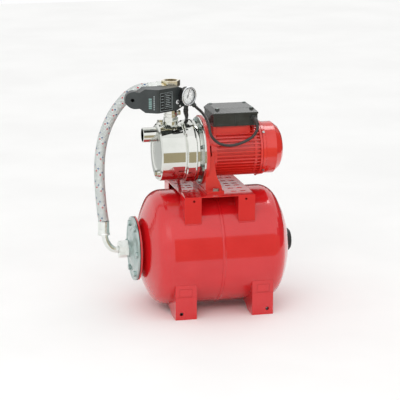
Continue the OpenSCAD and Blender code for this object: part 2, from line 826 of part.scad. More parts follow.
fin_t = 3;
block_y = 44;
module motor_housing() {
    pitch = 360 / fins_n;
    half = asin(fin_t / 2 / fin_r);
    root_half = asin(fin_t / 2 / root_r);
    color("red")
        difference() {
            union() {
                on_x(motor_x, axis_z)
                    linear_extrude(motor_l)
                        polygon([for (i = [0 : fins_n - 1]) let (a = pitch * (i + 0.5))
                            each [[root_r * cos(a - root_half), root_r * sin(a - root_half)],
                                  [fin_r * cos(a - half), fin_r * sin(a - half)],
                                  [fin_r * cos(a + half), fin_r * sin(a + half)],
                                  [root_r * cos(a + root_half), root_r * sin(a + root_half)]]]);
                // Closed rims at both ends of the fins
                on_x(motor_x, axis_z)
                    cylinder(h = 6, r = fin_r - 1, $fn = 96);
                on_x(shield_x - 14, axis_z)
                    cylinder(h = 6, r = fin_r - 2, $fn = 96);
                // Seat of the terminal box
                translate([motor_x + 1, -block_y, axis_z + 46])
                    cube([90, 2 * block_y, box_z - axis_z - 46]);
                translate([motor_x + 8, -block_y - 1, axis_z + 50])
                    cube([74, 2 * block_y + 2, 12]);
            }
            on_x(motor_x - 1, axis_z)
                cylinder(h = motor_l + 2, r = stator_r, $fn = 96);
        }
}

module rear_end_shield() {
    color("red")
        union() {
            turned(0, axis_z, [[shield_x, fin_r - 2], [shield_x, fin_r + 2], [shield_x + 5, fin_r + 2],
                [shield_x + 6.5, fin_r], [shield_x + 6.5, bearing_r], [shield_x - 1, bearing_r],
                [shield_x - 1, shaft_r + 3], [shield_x + 1, shaft_r + 3]]);
            turned(0, axis_z, [[shield_x - bearing_w - 2, bearing_r], [shield_x - bearing_w - 2, bearing_r + 5],
                [shield_x - 3, bearing_r + 8], [shield_x - 3, stator_r - 0.1], [shield_x + 1, stator_r - 0.1],
                [shield_x + 1, bearing_r]]);
            on_x(shield_x, axis_z)
                ring(2, fin_r, bearing_r);
            translate([shield_x + 3, 0, axis_z - fin_r - 5])
                cylinder(h = 8, r = 2.8);
        }
}

fan_l = 14;
module cooling_fan() {
    color("dimgray")
        union() {
            on_x(fan_x, axis_z)
                ring(fan_l, 13, shaft_r);
            on_x(fan_x, axis_z)
                ring(2, fan_r - 12, 12);
            for (i = [0 : 7])
                on_x(fan_x, axis_z)
                    rotate([0, 0, 45 * i])
                        translate([12, -1, 0])
                            cube([fan_r - 12, 2, fan_l]);
        }
}

cover_x = shield_x + 6.5;                        // left edge of the fan cover
module fan_cover() {
    wall = 2;
    end = cover_x + cover_l - 6.5;
    color("red")
        difference() {
            union() {
                turned(0, axis_z, [[cover_x, cover_r - wall], [cover_x, cover_r + 2.5],
                    [cover_x + 7, cover_r + 2.5], [cover_x + 8.5, cover_r], [end - 20, cover_r],
                    [end - 6, cover_r - 12], [end, cover_r - 22], [end, 0], [end - wall, 0],
                    [end - wall, cover_r - 23], [end - 7.5, cover_r - 13.5],
                    [end - 21, cover_r - wall]]);
            }
            for (i = [0 : 11])
                on_x(end - wall - 2, axis_z)
                    rotate([0, 0, 30 * i])
                        for (p = [[10, 4], [18, 5], [27, 6]])
                            translate([p[0], -p[1] / 2, 0])
                                cube([5, p[1], wall + 4]);
            for (a = [45 : 90 : 315])
                translate([cover_x + 3.5, 0, axis_z])
                    rotate([a, 0, 0])
                        translate([0, 0, cover_r - 6])
                            cylinder(h = 12, r = 1.5 + fit);
        }
}

module case_screws() {
    color("silver")
        union() {
            for (a = [45 : 90 : 315])
                translate([cover_x + 3.5, 0, axis_z])
                    rotate([a, 0, 0])
                        translate([0, 0, cover_r + 2.55])
                            union() {
                                cylinder(h = 1.6, r = 3);
                                translate([0, 0, -4])
                                    cylinder(h = 4.5, r = 1.5);
                            }
            for (sx = [12, box_l - 12], sy = [12, box_w - 12])
                translate([box_x + sx, box_y + sy, box_z + box_h + lid_h + 0.6])
                    cylinder(h = 1.2, r = 3);
        }
}

// ---------- terminal box ----------

gland_x = x0 + 88;
gland_z = box_z + 18;
module terminal_box() {
    color("dimgray")
        difference() {
            union() {
                translate([box_x, box_y, box_z])
                    cube([box_l, box_w, box_h]);
                // Middle rib between the two recessed panels
                translate([box_x + box_l / 2 - 2, box_y - 1.2, box_z])
                    cube([4, 2, box_h - 1]);
            }
            translate([box_x + box_wall, box_y + box_wall, box_z + box_wall])
                cube([box_l - 2 * box_wall, box_w - 2 * box_wall, box_h]);
            for (px = [6, box_l / 2 + 6])
                translate([box_x + px, box_y - 1, box_z + 5])
                    cube([box_l / 2 - 22, 1.8, box_h - 10]);
            translate([gland_x, box_y - 1, gland_z])
                rotate([-90, 0, 0])
                    cylinder(h = box_wall + 2, r = 6);
        }
}

module terminal_box_lid() {
    low = box_z + box_h;
    top_x = 7;
    top_y = 16;
    color("dimgray")
        difference() {
            union() {
                hull() {
                    translate([box_x - 1.5, box_y - 1.5, low])
                        cube([box_l + 3, box_w + 3, 4]);
                    translate([box_x + top_x, box_y + top_y, low + lid_h - 1])
                        cube([box_l - 2 * top_x, box_w - top_y - 6, 1]);
                }
                for (sx = [12, box_l - 12], sy = [12, box_w - 12])
                    translate([box_x + sx, box_y + sy, low + 1])
                        cylinder(h = lid_h - 0.4, r = 5);
            }
            translate([box_x + box_wall, box_y + box_wall, low - 1])
                cube([box_l - 2 * box_wall, box_w - 2 * box_wall, 4]);
        }
}

module run_capacitor() {
    color("gainsboro")
        on_x(box_x + 10, box_z + box_wall + 12.5)
            union() {
                cylinder(h = 55, r = 12.5);
                translate([0, 0, 54])
                    cylinder(h = 7, r = 4);
            }
}

// ---------- discharge side ----------

nipple_bottom = axis_z + body_r + 6;
barrel_z = nipple_bottom + 33;                   // lower end of the brass fitting
arm_z = ctrl_z + 19.5;
fitting_top = barrel_z + 66;
barrel_r = 17;
module discharge_nipple() {
    color("silver")
        union() {
            translate([nipple_x, 0, axis_z + body_r - 5])
                ring(barrel_z - axis_z - body_r + 5, 15 - fit, 11);
            translate([nipple_x, 0, nipple_bottom])
                difference() {
                    rotate([0, 0, 30])
                        hexagon(10, 32);
                    translate([0, 0, -1])
                        cylinder(h = 12, r = 11);
                }
            translate([nipple_x, 0, nipple_bottom + 14])
                ring(4, 17, 11);
            // Small vent plug on the side
            translate([nipple_x + 14, 0, nipple_bottom + 19])
                rotate([0, 90, 0])
                    union() {
                        cylinder(h = 8, r = 4);
                        translate([0, 0, 4])
                            hexagon(5, 11);
                    }
        }
}

seat_z = barrel_z + 5;
guide_z = barrel_z + 30;
valve_hole = 9;
module five_way_fitting() {
    color("goldenrod")
        difference() {
            union() {
                translate([nipple_x, 0, barrel_z])
                    cylinder(h = fitting_top - barrel_z, r = barrel_r);
                translate([nipple_x, 0, fitting_top - 14])
                    hexagon(14, 40);
                translate([nipple_x, 0, barrel_z])
                    hexagon(9, 36);
                // Side arm to the hose
                translate([nipple_x, 0, arm_z])
                    rotate([0, -90, 0])
                        cylinder(h = 33, r = 12);
                // Front arm that carries the controller
                translate([nipple_x, 0, ctrl_z - 3.5])
                    rotate([90, 0, 0])
                        cylinder(h = -ctrl_back_y, r = 8);
            }
            translate([nipple_x, 0, seat_z])
                cylinder(h = guide_z - seat_z, r = 13);
            translate([nipple_x, 0, barrel_z - 1])
                cylinder(h = 8, r = valve_hole);
            translate([nipple_x, 0, guide_z + 3])
                cylinder(h = fitting_top, r = 12);
            translate([nipple_x, 0, fitting_top - 9.5])
                cylinder(h = 30, r = port_bore_r);
            for (a = [45 : 90 : 315])
                translate([nipple_x + 8 * cos(a), 8 * sin(a), guide_z - 1])
                    cylinder(h = 6, r = 3.5);
            translate([nipple_x, 0, guide_z - 1])
                cylinder(h = 6, r = 2 + slip);
            translate([nipple_x, 0, arm_z])
                rotate([0, -90, 0])
                    cylinder(h = 40, r = 8);
            translate([nipple_x, 0, ctrl_z - 3.5])
                rotate([90, 0, 0])
                    cylinder(h = 40, r = 4);
        }
}

module check_valve_poppet() {
    color("ivory")
        translate([nipple_x, 0, seat_z + 0.1])
            union() {
                cylinder(h = 3, r = 12);
                cylinder(h = guide_z - seat_z + 6, r = 2);
            }
}

module check_valve_spring() {
    low = seat_z + 3.2 + 0.6;
    high = guide_z - 0.7;
    turns = 5;
    color("silver")
        translate([nipple_x, 0, 0])
            swept([for (i = [0 : 12 * turns]) let (a = 30 * i)
                [6.5 * cos(a), 6.5 * sin(a), low + (high - low) * i / (12 * turns)]], 0.6, 6);
}

// ---------- controller and gauge ----------

module ctrl_front(inset) {
    offset(delta = -inset)
        union() {
            translate([x0 - 200.5, ctrl_z])
                circle(r = 20.5, $fn = 32);
            polygon([[x0 - 200, ctrl_z - 20.5], [x0 - 190, ctrl_z - 19], [x0 - 178, ctrl_z - ctrl_half_h],
                [x0 - 98, ctrl_z - ctrl_half_h], [x0 - 76, ctrl_z - 18], [x0 - 70, ctrl_z + 4],
                [x0 - 78, ctrl_z + 20], [x0 - 96, ctrl_z + ctrl_half_h], [x0 - 178, ctrl_z + ctrl_half_h],
                [x0 - 190, ctrl_z + 19], [x0 - 200, ctrl_z + 20.5]]);
        }
}

module ctrl_slab(y_front, y_back, inset) {
    translate([0, y_back, 0])
        rotate([90, 0, 0])
            linear_extrude(y_back - y_front)
                ctrl_front(inset);
}

// The V of the front faces, seen from above
module ctrl_wedge(inset) {
    run_l = 75;
    run_r = 100;
    translate([0, 0, ctrl_z - 40])
        linear_extrude(80)
            polygon([[crease_x - run_l, -20], [crease_x - run_l, crease_y + run_l * tan(ctrl_angle) + inset],
                [crease_x - 3, crease_y + 3 * tan(ctrl_angle) + inset],
                [crease_x + 3, crease_y + 3 * tan(ctrl_angle) + inset],
                [crease_x + run_r, crease_y + run_r * tan(ctrl_angle) + inset], [crease_x + run_r, -20]]);
}

gauge_at = 88;                                   // gauge axis, along the right face from the crease
gauge_z = ctrl_z + 4.5;
button_at = 63;
button_z = ctrl_z - 8;
// Moves children onto the right front face, +Z out of the face
module on_face(along, z) {
    translate([crease_x, crease_y, z])
        rotate([0, 0, ctrl_angle])
            translate([along, 0, 0])
                rotate([90, 0, 0])
                    children();
}

// Cable box behind the controller's right end, with a bevelled lower corner
box_low = ctrl_z - 23.5;
cable_box = [[x0 - 82, box_low], [x0 - 61, box_low], [x0 - 49, box_low + 12], [x0 - 49, box_low + 30],
    [x0 - 82, box_low + 30]];
bevel_mid = [x0 - 55, -8, box_low + 6];
down_gland = [x0 - 65, 6, box_low];
module controller_housing() {
    color("black")
        difference() {
            union() {
                difference() {
                    intersection() {
                        ctrl_slab(ctrl_split_y, ctrl_back_y, 0);
                        ctrl_wedge(0);
                    }
                    ctrl_slab(ctrl_split_y - 1, ctrl_back_y - ctrl_wall, ctrl_wall);
                }
                translate([0, 16, 0])
                    rotate([90, 0, 0])
                        linear_extrude(32)
                            polygon(cable_box);
                translate([x0 - 82, -24, box_low])
                    cube([12, 12, 30]);
            }
            translate([0, 16 - ctrl_wall, 0])
                rotate([90, 0, 0])
                    linear_extrude(32 - 2 * ctrl_wall)
                        offset(delta = -ctrl_wall)
                            polygon(cable_box);
            translate([nipple_x, ctrl_back_y - 1.5 * ctrl_wall, ctrl_z - 3.5])
                rotate([-90, 0, 0])
                    cylinder(h = 4 * ctrl_wall, r = 4);
            translate([down_gland[0], down_gland[1], box_low - 5])
                cylinder(h = 12, r = 5);
            translate(bevel_mid)
                rotate([0, 135, 0])
                    translate([0, 0, -8])
                        cylinder(h = 12, r = 5);
            on_face(gauge_at, gauge_z)
                translate([0, 0, -13])
                    cylinder(h = 30, r = 6.5);
        }
}

module controller_cover() {
    color("black")
        difference() {
            intersection() {
                ctrl_slab(crease_y - 5, ctrl_split_y - 0.2, 0);
                ctrl_wedge(0);
            }
            intersection() {
                ctrl_slab(crease_y - 5, ctrl_split_y + 1, ctrl_wall);
                ctrl_wedge(ctrl_wall * 1.2);
            }
            on_face(gauge_at, gauge_z)
                translate([0, 0, -30])
                    cylinder(h = 60, r = 6.5);
            on_face(button_at, button_z)
                translate([0, 0, -10])
                    cylinder(h = 20, r = button_r + slip);
            // Screw recess in the left lobe
            translate([x0 - 205, -60, ctrl_z])
                rotate([-90, 0, 0])
                    cylinder(h = 25, r = 4);
        }
}

module restart_button() {
    color("gainsboro")
        on_face(button_at, button_z)
            translate([0, 0, -5])
                union() {
                    cylinder(h = 7.5, r = button_r);
                    cylinder(h = 1.2, r = button_r + 1);
                }
}

dial_z = 8.5;                                    // dial above the back of the gauge case
module gauge_case() {
    color("silver")
        on_face(gauge_at, gauge_z)
            translate([0, 0, slip])
                difference() {
                    union() {
                        cylinder(h = gauge_h - 3, r = gauge_r - 1);
                        translate([0, 0, gauge_h - 3])
                            cylinder(h = 3, r = gauge_r);
                        translate([0, 0, -12])
                            cylinder(h = 13, r = 6);
                    }
                    translate([0, 0, dial_z])
                        cylinder(h = 10, r = gauge_r - 3);
                    translate([0, 0, dial_z - 3])
                        cylinder(h = 4, r = 1 + fit);
                }
}

module gauge_needle() {
    color("black")
        on_face(gauge_at, gauge_z)
            translate([0, 0, slip])
                union() {
                    translate([0, 0, dial_z - 2.7])
                        cylinder(h = 3.9, r = 1);
                    translate([0, 0, dial_z + 0.4])
                        cylinder(h = 1.2, r = 2.2);
                    translate([0, 0, dial_z + 0.5])
                        rotate([0, 0, -22])
                            linear_extrude(0.8)
                                polygon([[-1.2, -6], [1.2, -6], [0.4, gauge_r - 7], [-0.4, gauge_r - 7]]);
                }
}

module gauge_lens() {
    color("white", 0.3)
        on_face(gauge_at, gauge_z)
            translate([0, 0, slip + dial_z + 2.6])
                cylinder(h = 1.5, r = gauge_r - 3, $fn = 64);
}

// ---------- hose ----------

hose_r = hose_d / 2;
module braided_hose() {
    color("gainsboro")
        swept(smooth(hose_route, 2), hose_r, 12, [-1, 0, 0], [0, 0, -1]);
}

module hose_ferrules() {
    color("silver")
        union() {
            // Upper ferrule and its tail to the fitting's side arm
            translate([-147, 0, arm_z])
                rotate([0, 90, 0])
                    difference() {
                        cylinder(h = 21, r = hose_r + 1);
                        translate([0, 0, -1])
                            cylinder(h = 30, r = 7);
                    }
            // Lower ferrule, flared at its end
            translate([-257, 0, 190])
                rotate_extrude($fn = 64)
                    polygon([[8, 0], [hose_r + 2, 0], [hose_r + 2, 3], [hose_r + 0.8, 5],
                        [hose_r + 0.8, 34], [8, 34]]);
        }
}

module hose_elbow() {
    color("gainsboro")
        union() {
            swept(smooth(elbow_route, 2), 8, 12, [0, 0, -1], [1, 0, 0]);
            on_x(x0 - 228, tank_z)
                cylinder(h = 7, r = 12);
        }
}

module swivel_nuts() {
    nut_x = x0 - 234.5;
    color("silver")
        union() {
            on_x(nut_x, tank_z)
                difference() {
                    hexagon(22.7, 37);
                    translate([0, 0, 6])
                        cylinder(h = 20, r = 16.8);
                    translate([0, 0, -1])
                        cylinder(h = 10, r = 8.8);
                }
            translate([-126, 0, arm_z])
                rotate([0, 90, 0])
                    difference() {
                        hexagon(11, 28);
                        translate([0, 0, -1])
                            cylinder(h = 20, r = 12.05);
                    }
        }
}

// ---------- cables ----------

module motor_lead() {
    color("black")
        swept(smooth(motor_lead_route, 3), lead_d / 2, 8, [0, -1, 0], unit([-1, 0, 1]));
}

module mains_lead() {
    color("black")
        swept(smooth(mains_lead_route, 2), mains_d / 2, 8, [0, 0, -1], [0, 1, 0]);
}

module mains_coil() {
    color("black")
        translate([coil_at[0], coil_at[1], 0.6])
            rotate_extrude($fn = 64)
                polygon([[coil_mid_r - 9, 0], [coil_mid_r + 9, 0], [coil_mid_r + 9, 20], [coil_mid_r - 9, 20]]);
}

module mains_plug() {
    color("black")
        translate([coil_at[0] + 47, coil_at[1] + coil_mid_r + 4.5, 19.2])
            rotate([0, 90, 0])
                union() {
                    // Last of the lead, from the coil to the plug
                    translate([0, 0, -18])
                        cylinder(h = 18.5, r = mains_d / 2);
                    cylinder(h = 14, r1 = 7, r2 = 16);
                    translate([0, 0, 14])
                        cylinder(h = 24, r = 19);
                    for (s = [-1, 1])
                        translate([0, s * 9.5, 38])
                            cylinder(h = 19, r = 2.4, $fn = 24);
                }
}

module cable_glands() {
    color("black")
        union() {
            // Terminal box gland
            translate([gland_x, box_y, gland_z])
                rotate([90, 0, 0])
                    union() {
                        hexagon(6, 15);
                        cylinder(h = 14, r = 6);
                        translate([0, 0, -6])
                            cylinder(h = 7, r = 5.9);
                    }
            for (g = [[down_gland, 180], [bevel_mid, 135]])
                translate(g[0])
                    rotate([0, g[1], 0])
                        union() {
                            hexagon(5, 14);
                            cylinder(h = 12.2, r = 5.5);
                            translate([0, 0, -6])
                                cylinder(h = 7, r = 4.9);
                        }
        }
}

tank_shell_left();
tank_shell_right();
counter_flange();
flange_plate();
flange_bolts();
tank_bladder();
air_valve_body();
air_valve_core();
air_valve_cap();
foot_front_left();
foot_front_right();
foot_rear_left();
foot_rear_right();
pump_plate();
pump_body();
suction_port();
priming_plug();
drain_plug();
ejector();
diffuser();
impeller();
impeller_nut();
seal_head();
seal_seat();
seal_plate();
body_o_ring();
pump_bolts();
motor_bracket();
motor_shaft();
ball_bearings();
rotor_core();
stator_core();
stator_windings();
motor_housing();
rear_end_shield();
cooling_fan();
fan_cover();
case_screws();
terminal_box();
terminal_box_lid();
run_capacitor();
discharge_nipple();
five_way_fitting();
check_valve_poppet();
check_valve_spring();
controller_housing();
controller_cover();
restart_button();
gauge_case();
gauge_needle();
gauge_lens();
braided_hose();
hose_ferrules();
hose_elbow();
swivel_nuts();
motor_lead();
mains_lead();
mains_coil();
mains_plug();
cable_glands();
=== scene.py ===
# %% [markdown]
# # Water pump booster set
# A stainless jet pump and its finned motor stand on a red pressure tank. A braided hose brings the
# water from the pump down to the tank, and a black controller with a gauge starts and stops the motor.
# The exact shapes come packed as a fixed frame, so this lesson is about what a maker adds to them:
# soft pieces, small details, finishes and light. Everything is in metres, with Z up.

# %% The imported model
import json
import math

import bmesh
import bpy
import numpy as np
from mathutils import Matrix, Vector


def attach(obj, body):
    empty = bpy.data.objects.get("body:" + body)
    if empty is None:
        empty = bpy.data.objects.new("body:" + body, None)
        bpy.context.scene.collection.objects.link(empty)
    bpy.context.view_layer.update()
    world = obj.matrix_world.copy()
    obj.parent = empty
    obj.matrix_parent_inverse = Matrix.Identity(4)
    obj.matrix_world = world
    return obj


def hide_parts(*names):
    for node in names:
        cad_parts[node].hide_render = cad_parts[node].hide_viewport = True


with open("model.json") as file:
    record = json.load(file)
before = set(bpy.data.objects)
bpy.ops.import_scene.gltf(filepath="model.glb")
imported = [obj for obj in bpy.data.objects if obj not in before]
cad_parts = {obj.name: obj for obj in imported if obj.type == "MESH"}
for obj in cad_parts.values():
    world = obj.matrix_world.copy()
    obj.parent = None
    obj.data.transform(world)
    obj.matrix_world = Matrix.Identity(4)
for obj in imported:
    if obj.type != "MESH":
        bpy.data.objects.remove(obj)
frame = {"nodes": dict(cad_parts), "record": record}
nodes = frame["nodes"]
scene = bpy.context.scene
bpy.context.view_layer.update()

# %% [markdown]
# ## Camera
# The whole set is seen from the front, a little from the pump's end and from above. A long lens from
# four metres away keeps the sides of the tank nearly parallel, as in a catalogue picture.

# %% Camera
scene.view_settings.view_transform = "Standard"
AIM = Vector((-0.01857, 0, 0.26239))
LENS_MM, SENSOR_MM = 153.1, 36
turn, tilt, away = math.radians(-13.24), math.radians(13.73), 4.1397
back = Vector((math.sin(turn) * math.cos(tilt), -math.cos(turn) * math.cos(tilt), math.sin(tilt)))
camera = bpy.data.objects.new("camera", bpy.data.cameras.new("camera"))
scene.collection.objects.link(camera)
camera.location = AIM + away * back
camera.rotation_euler = back.to_track_quat("Z", "Y").to_euler()
camera.data.lens = LENS_MM
camera.data.sensor_width = SENSOR_MM
scene.camera = camera
print("camera at", [round(v, 3) for v in camera.location])

# %% [markdown]
# ## One smooth line for each cord
# A hose or a lead bends evenly, so its line is a spline through a few points that it passes. The
# routes are the same as those of the CAD solids that these pieces stand for. A Catmull-Rom spline
# goes through all its points, which makes the route easy to read and to change.

# %% Smooth lines and tubes
MM = 0.001


def smooth_line(points, steps):
    """Points along one smooth curve through the given points, which are in millimetres."""
    p = np.array(points, float) * MM
    p = np.vstack([2 * p[0] - p[1], p, 2 * p[-1] - p[-2]])
    t = (np.arange(steps) / steps)[:, None]
    parts = []
    for a, b, c, d in zip(p, p[1:], p[2:], p[3:]):
        parts.append(b + 0.5 * t * (c - a + t * (2 * a - 5 * b + 4 * c - d + t * (3 * (b - c) + d - a))))
    return np.vstack([*parts, p[-2][None]])


def length_of(line):
    return float(np.linalg.norm(np.diff(line, axis=0), axis=1).sum())


def evenly(line, step):
    """The same line with its points a fixed step apart."""
    run = np.concatenate([[0], np.cumsum(np.linalg.norm(np.diff(line, axis=0), axis=1))])
    at = np.linspace(0, run[-1], max(2, int(round(run[-1] / step)) + 1))
    return np.stack([np.interp(at, run, line[:, k]) for k in range(3)], 1), at


def piece(name, mesh):
    """Links a mesh as an object that rides on the base, as every piece added here does."""
    made = bpy.data.objects.new(name, mesh)
    scene.collection.objects.link(made)
    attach(made, "base")
    return made


def mesh_of(name, points, faces):
    mesh = bpy.data.meshes.new(name)
    mesh.from_pydata([tuple(p) for p in points], [], faces)
    mesh.polygons.foreach_set("use_smooth", [True] * len(mesh.polygons))
    mesh.update()
    return mesh


def rings_round(line, sides):
    """For each point of a line, two directions across it that don't twist, and the sides' angles."""
    along = np.gradient(line, axis=0)
    along /= np.linalg.norm(along, axis=1)[:, None]
    across = np.zeros_like(along)
    side = np.cross(along[0], [0.0, 1.0, 0.01])
    for i, direction in enumerate(along):
        side = side - direction * (side @ direction)
        side /= np.linalg.norm(side)
        across[i] = side
    return across, np.cross(along, across), np.arange(sides) * 2 * math.pi / sides


def tube(name, line, radius, sides):
    """A closed tube along a line. The radius is one number, one for each ring, or one for each point."""
    across, over, angle = rings_round(line, sides)
    r = np.broadcast_to(np.asarray(radius, float), (len(line), sides))[:, :, None]
    spokes = across[:, None] * np.cos(angle)[None, :, None] + over[:, None] * np.sin(angle)[None, :, None]
    points = (line[:, None] + r * spokes).reshape(-1, 3)
    n, faces = len(line), []
    for i in range(n - 1):
        for k in range(sides):
            a, b = i * sides + k, i * sides + (k + 1) % sides
            faces.append((a, b, b + sides, a + sides))
    faces += [tuple(range(sides))[::-1], tuple(range((n - 1) * sides, n * sides))]
    return mesh_of(name, points, faces)


print("helpers ready")

# %% [markdown]
# ## The braided hose
# The hose is a rubber tube in a sleeve of plaited stainless wire. The sleeve has real relief: two
# families of flat strands wind round it in opposite directions and pass over and under each other.
# The height of the surface is worked out from how far a point is from the nearest strand of each
# family. One strand in eight is a blue tracer and one is red, and each shows its colour at every
# fourth crossing. The low grooves between the strands are painted a darker grey, which is painted
# shade. An inset of 0.1 mm keeps the sleeve within the imported hose's box.

# %% Braided hose
HOSE_D = 0.026
hose_route = [(-147, 0, 543), (-158, 0, 543), (-171, 1, 540), (-185, 4, 532), (-200, 10, 519),
    (-223, 22, 486), (-241, 31, 447), (-252, 34, 410), (-259, 30, 370), (-262, 21, 330), (-262, 11, 290),
    (-260, 3, 250), (-257, 0, 224)]
STRANDS = 16
TURN_LENGTH = 0.078
BRAID_DEPTH = 0.0008
BRAID_INSET = 0.0001
CROWN_POWER, STRAND_TOP, WEAVE_DIP = 0.7, 0.6, 0.4
GROOVE_SHADE_TOP, GROOVE_SHADE_FADE = 0.62, 0.3
RING_STEP, HOSE_SIDES = 0.0008, 96
hose_line, hose_run = evenly(smooth_line(hose_route, 8), RING_STEP)
winding = np.arange(HOSE_SIDES)[None, :] / HOSE_SIDES
climb = hose_run[:, None] / TURN_LENGTH
left = (winding + climb) * STRANDS
right = (winding - climb) * STRANDS
weave = np.cos(math.pi * left) * np.cos(math.pi * right)
crown_left = np.abs(np.cos(math.pi * left)) ** CROWN_POWER * (STRAND_TOP + WEAVE_DIP * weave)
crown_right = np.abs(np.cos(math.pi * right)) ** CROWN_POWER * (STRAND_TOP - WEAVE_DIP * weave)
relief = np.maximum(crown_left, crown_right)
braid_mesh = tube("hose_braid", hose_line, HOSE_D / 2 - BRAID_DEPTH * (1 - relief) - BRAID_INSET,
    HOSE_SIDES)
strand = np.round(left).astype(int) % (STRANDS // 2)
spot = np.round(right).astype(int) % 4 == 1
# Painted shade: the low grooves between the strands are painted a darker grey, more so the lower they lie
painted_shade_amount = np.clip((GROOVE_SHADE_TOP - relief) / GROOVE_SHADE_FADE, 0, 1)
for layer, amount in (("blue_thread", (strand == 0) & spot), ("red_thread", (strand == 2) & spot),
        ("groove_painted_shade", painted_shade_amount)):
    attribute = braid_mesh.attributes.new(layer, "FLOAT", "POINT")
    attribute.data.foreach_set("value", amount.astype(np.float32).ravel())
hose_braid = piece("hose_braid", braid_mesh)
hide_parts("braided_hose")

# %% [markdown]
# ## The rubber leads
# The motor lead hangs in one loop from the terminal box and rises to the controller. The mains lead
# leaves the controller, comes down behind the motor, and ends in a neat coil with its plug behind the
# tank, as it is put away for storage. Each lead is a round tube swept along its line.

# %% Motor lead and mains lead
LEAD_STEP = 0.004
MOTOR_LEAD_D, MAINS_LEAD_D = 0.007, 0.008


def lead(name, line, diameter):
    return piece(name, tube(name, line, diameter / 2, 18))


motor_route = [(101, -64, 470), (102, -70, 467), (104, -74, 458), (103, -76, 445), (91, -77, 429),
    (67, -78, 417), (40, -78, 411), (15, -78, 415), (-2, -79, 427), (-11, -79, 441), (-13, -72, 458),
    (-15, -56, 472), (-21, -30, 485), (-27, -12, 491), (-33, -8, 497)]
motor_line = evenly(smooth_line(motor_route, 6), LEAD_STEP)[0]
motor_sheath = lead("motor_lead_sheath", motor_line, MOTOR_LEAD_D)
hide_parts("motor_lead")

mains_route = [(-52, 6, 487.7), (-52, 8, 480), (-48, 18, 470), (-43, 40, 457), (-41, 66, 436), (-41, 84, 404),
    (-43, 90, 370), (-45, 102, 335), (-47, 121, 305), (-49, 128, 270), (-51, 138, 225), (-53, 148, 180),
    (-55, 150, 140), (-55, 150, 90), (-56, 150, 50), (-60, 152, 24), (-68, 157, 9), (-77, 167, 5),
    (-83.5, 182, 5), (-85.5, 201.5, 5)]
COIL_START = (-85.5, 204, 5)
COIL_X, COIL_Y = -35, 230.1
WIDE, NARROW, FLOOR_LAYER, TOP_LAYER = 50.5, 41.5, 5.0, 13.4
PLUG_X, PLUG_Z = COIL_X + 47, 19.2
coil_turns = [(0, WIDE, FLOOR_LAYER), (0.8, WIDE, FLOOR_LAYER), (1.1, NARROW, FLOOR_LAYER),
    (1.8, NARROW, FLOOR_LAYER), (2.1, NARROW, TOP_LAYER), (2.7, NARROW, TOP_LAYER), (3.0, WIDE, TOP_LAYER),
    (3.25, WIDE, TOP_LAYER + 0.6)]
turn_at, turn_r, turn_z = (np.array(v) for v in zip(*coil_turns))
turns = np.arange(0.06, turn_at[-1] + 0.001, 1 / 20)
swing = math.pi - 2 * math.pi * turns
coil_r = np.interp(turns, turn_at, turn_r)
coil_z = np.interp(turns, turn_at, turn_z)
wound = np.stack([COIL_X + coil_r * np.cos(swing), COIL_Y + coil_r * np.sin(swing), coil_z], 1)
to_plug = [(COIL_X + 14, COIL_Y + WIDE, 15), (COIL_X + 29, COIL_Y + WIDE, 17.6),
    (PLUG_X, COIL_Y + WIDE, PLUG_Z)]
# The route's last point makes way for the one where the coil starts
whole_route = [*mains_route[:-1], COIL_START, *wound.tolist(), *to_plug]
mains_line = evenly(smooth_line(whole_route, 5), LEAD_STEP)[0]
mains_sheath = lead("mains_lead_sheath", mains_line, MAINS_LEAD_D)
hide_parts("mains_lead", "mains_coil")
print("motor lead", round(length_of(motor_line), 3), "m; mains lead", round(length_of(mains_line), 3), "m")


def solid_of(name, build, smooth=True):
    """A piece from bmesh steps."""
    mesh = bpy.data.meshes.new(name)
    bm = bmesh.new()
    build(bm)
    bmesh.ops.recalc_face_normals(bm, faces=bm.faces)
    bm.to_mesh(mesh)
    bm.free()
    mesh.polygons.foreach_set("use_smooth", [smooth] * len(mesh.polygons))
    return piece(name, mesh)


def lathe(profile, place, sides=48):
    """Faces of a ring-shaped outline turned about the local Z axis: profile is (radius, height) in mm."""
    def build(bm):
        rings = []
        for k in range(sides):
            a = 2 * math.pi * k / sides
            rings.append([bm.verts.new(place @ Vector((r * MM * math.cos(a), r * MM * math.sin(a), z * MM)))
                for r, z in profile])
        for k in range(sides):
            here, there = rings[k], rings[(k + 1) % sides]
            for i in range(len(profile)):
                j = (i + 1) % len(profile)
                bm.faces.new((here[i], here[j], there[j], there[i]))
    return build


def facing(place, direction):
    """A matrix that stands at a point in mm with its Z axis along a direction."""
    turned = Vector(direction).to_track_quat("Z", "Y").to_matrix().to_4x4()
    return Matrix.Translation(Vector(place) * MM) @ turned


# Strain reliefs: ribbed rubber sleeves that taper from each gland along the lead
RIB_PITCH, RIB_DEPTH = 0.004, 0.0004


def sleeve(name, line, length, wide, narrow):
    start, at = evenly(line, RIB_PITCH / 8)
    start, at = start[at <= length], at[at <= length]
    taper = wide + (narrow - wide) * (at / length) ** 0.8
    ribs = RIB_DEPTH * (np.cos(2 * math.pi * at / RIB_PITCH) > 0)
    return piece(name, tube(name, start, (taper - ribs)[:, None], 24))


box_relief = sleeve("motor_lead_relief", motor_line, length=0.022, wide=0.0058, narrow=0.0040)
down_relief = sleeve("mains_lead_relief", mains_line, length=0.032, wide=0.0066, narrow=0.0045)


# Tie: a flat band round the coil's turns
def band(corners, width, thick):
    """A flat strap round a loop of corners in the XZ plane, its width along Y, as steps for solid_of."""
    def build(bm):
        rings = []
        middle = np.mean(corners, axis=0)
        for x, z in corners:
            out = np.array([x, z]) - middle
            out = out / np.linalg.norm(out) * thick
            edges = ((-width / 2, (0, 0)), (width / 2, (0, 0)), (width / 2, out), (-width / 2, out))
            rings.append([bm.verts.new(Vector((x + dx, COIL_Y + y, z + dz)) * MM) for y, (dx, dz) in edges])
        for here, there in zip(rings, rings[1:] + rings[:1]):
            for i in range(4):
                bm.faces.new((here[i], here[(i + 1) % 4], there[(i + 1) % 4], there[i]))
    return build


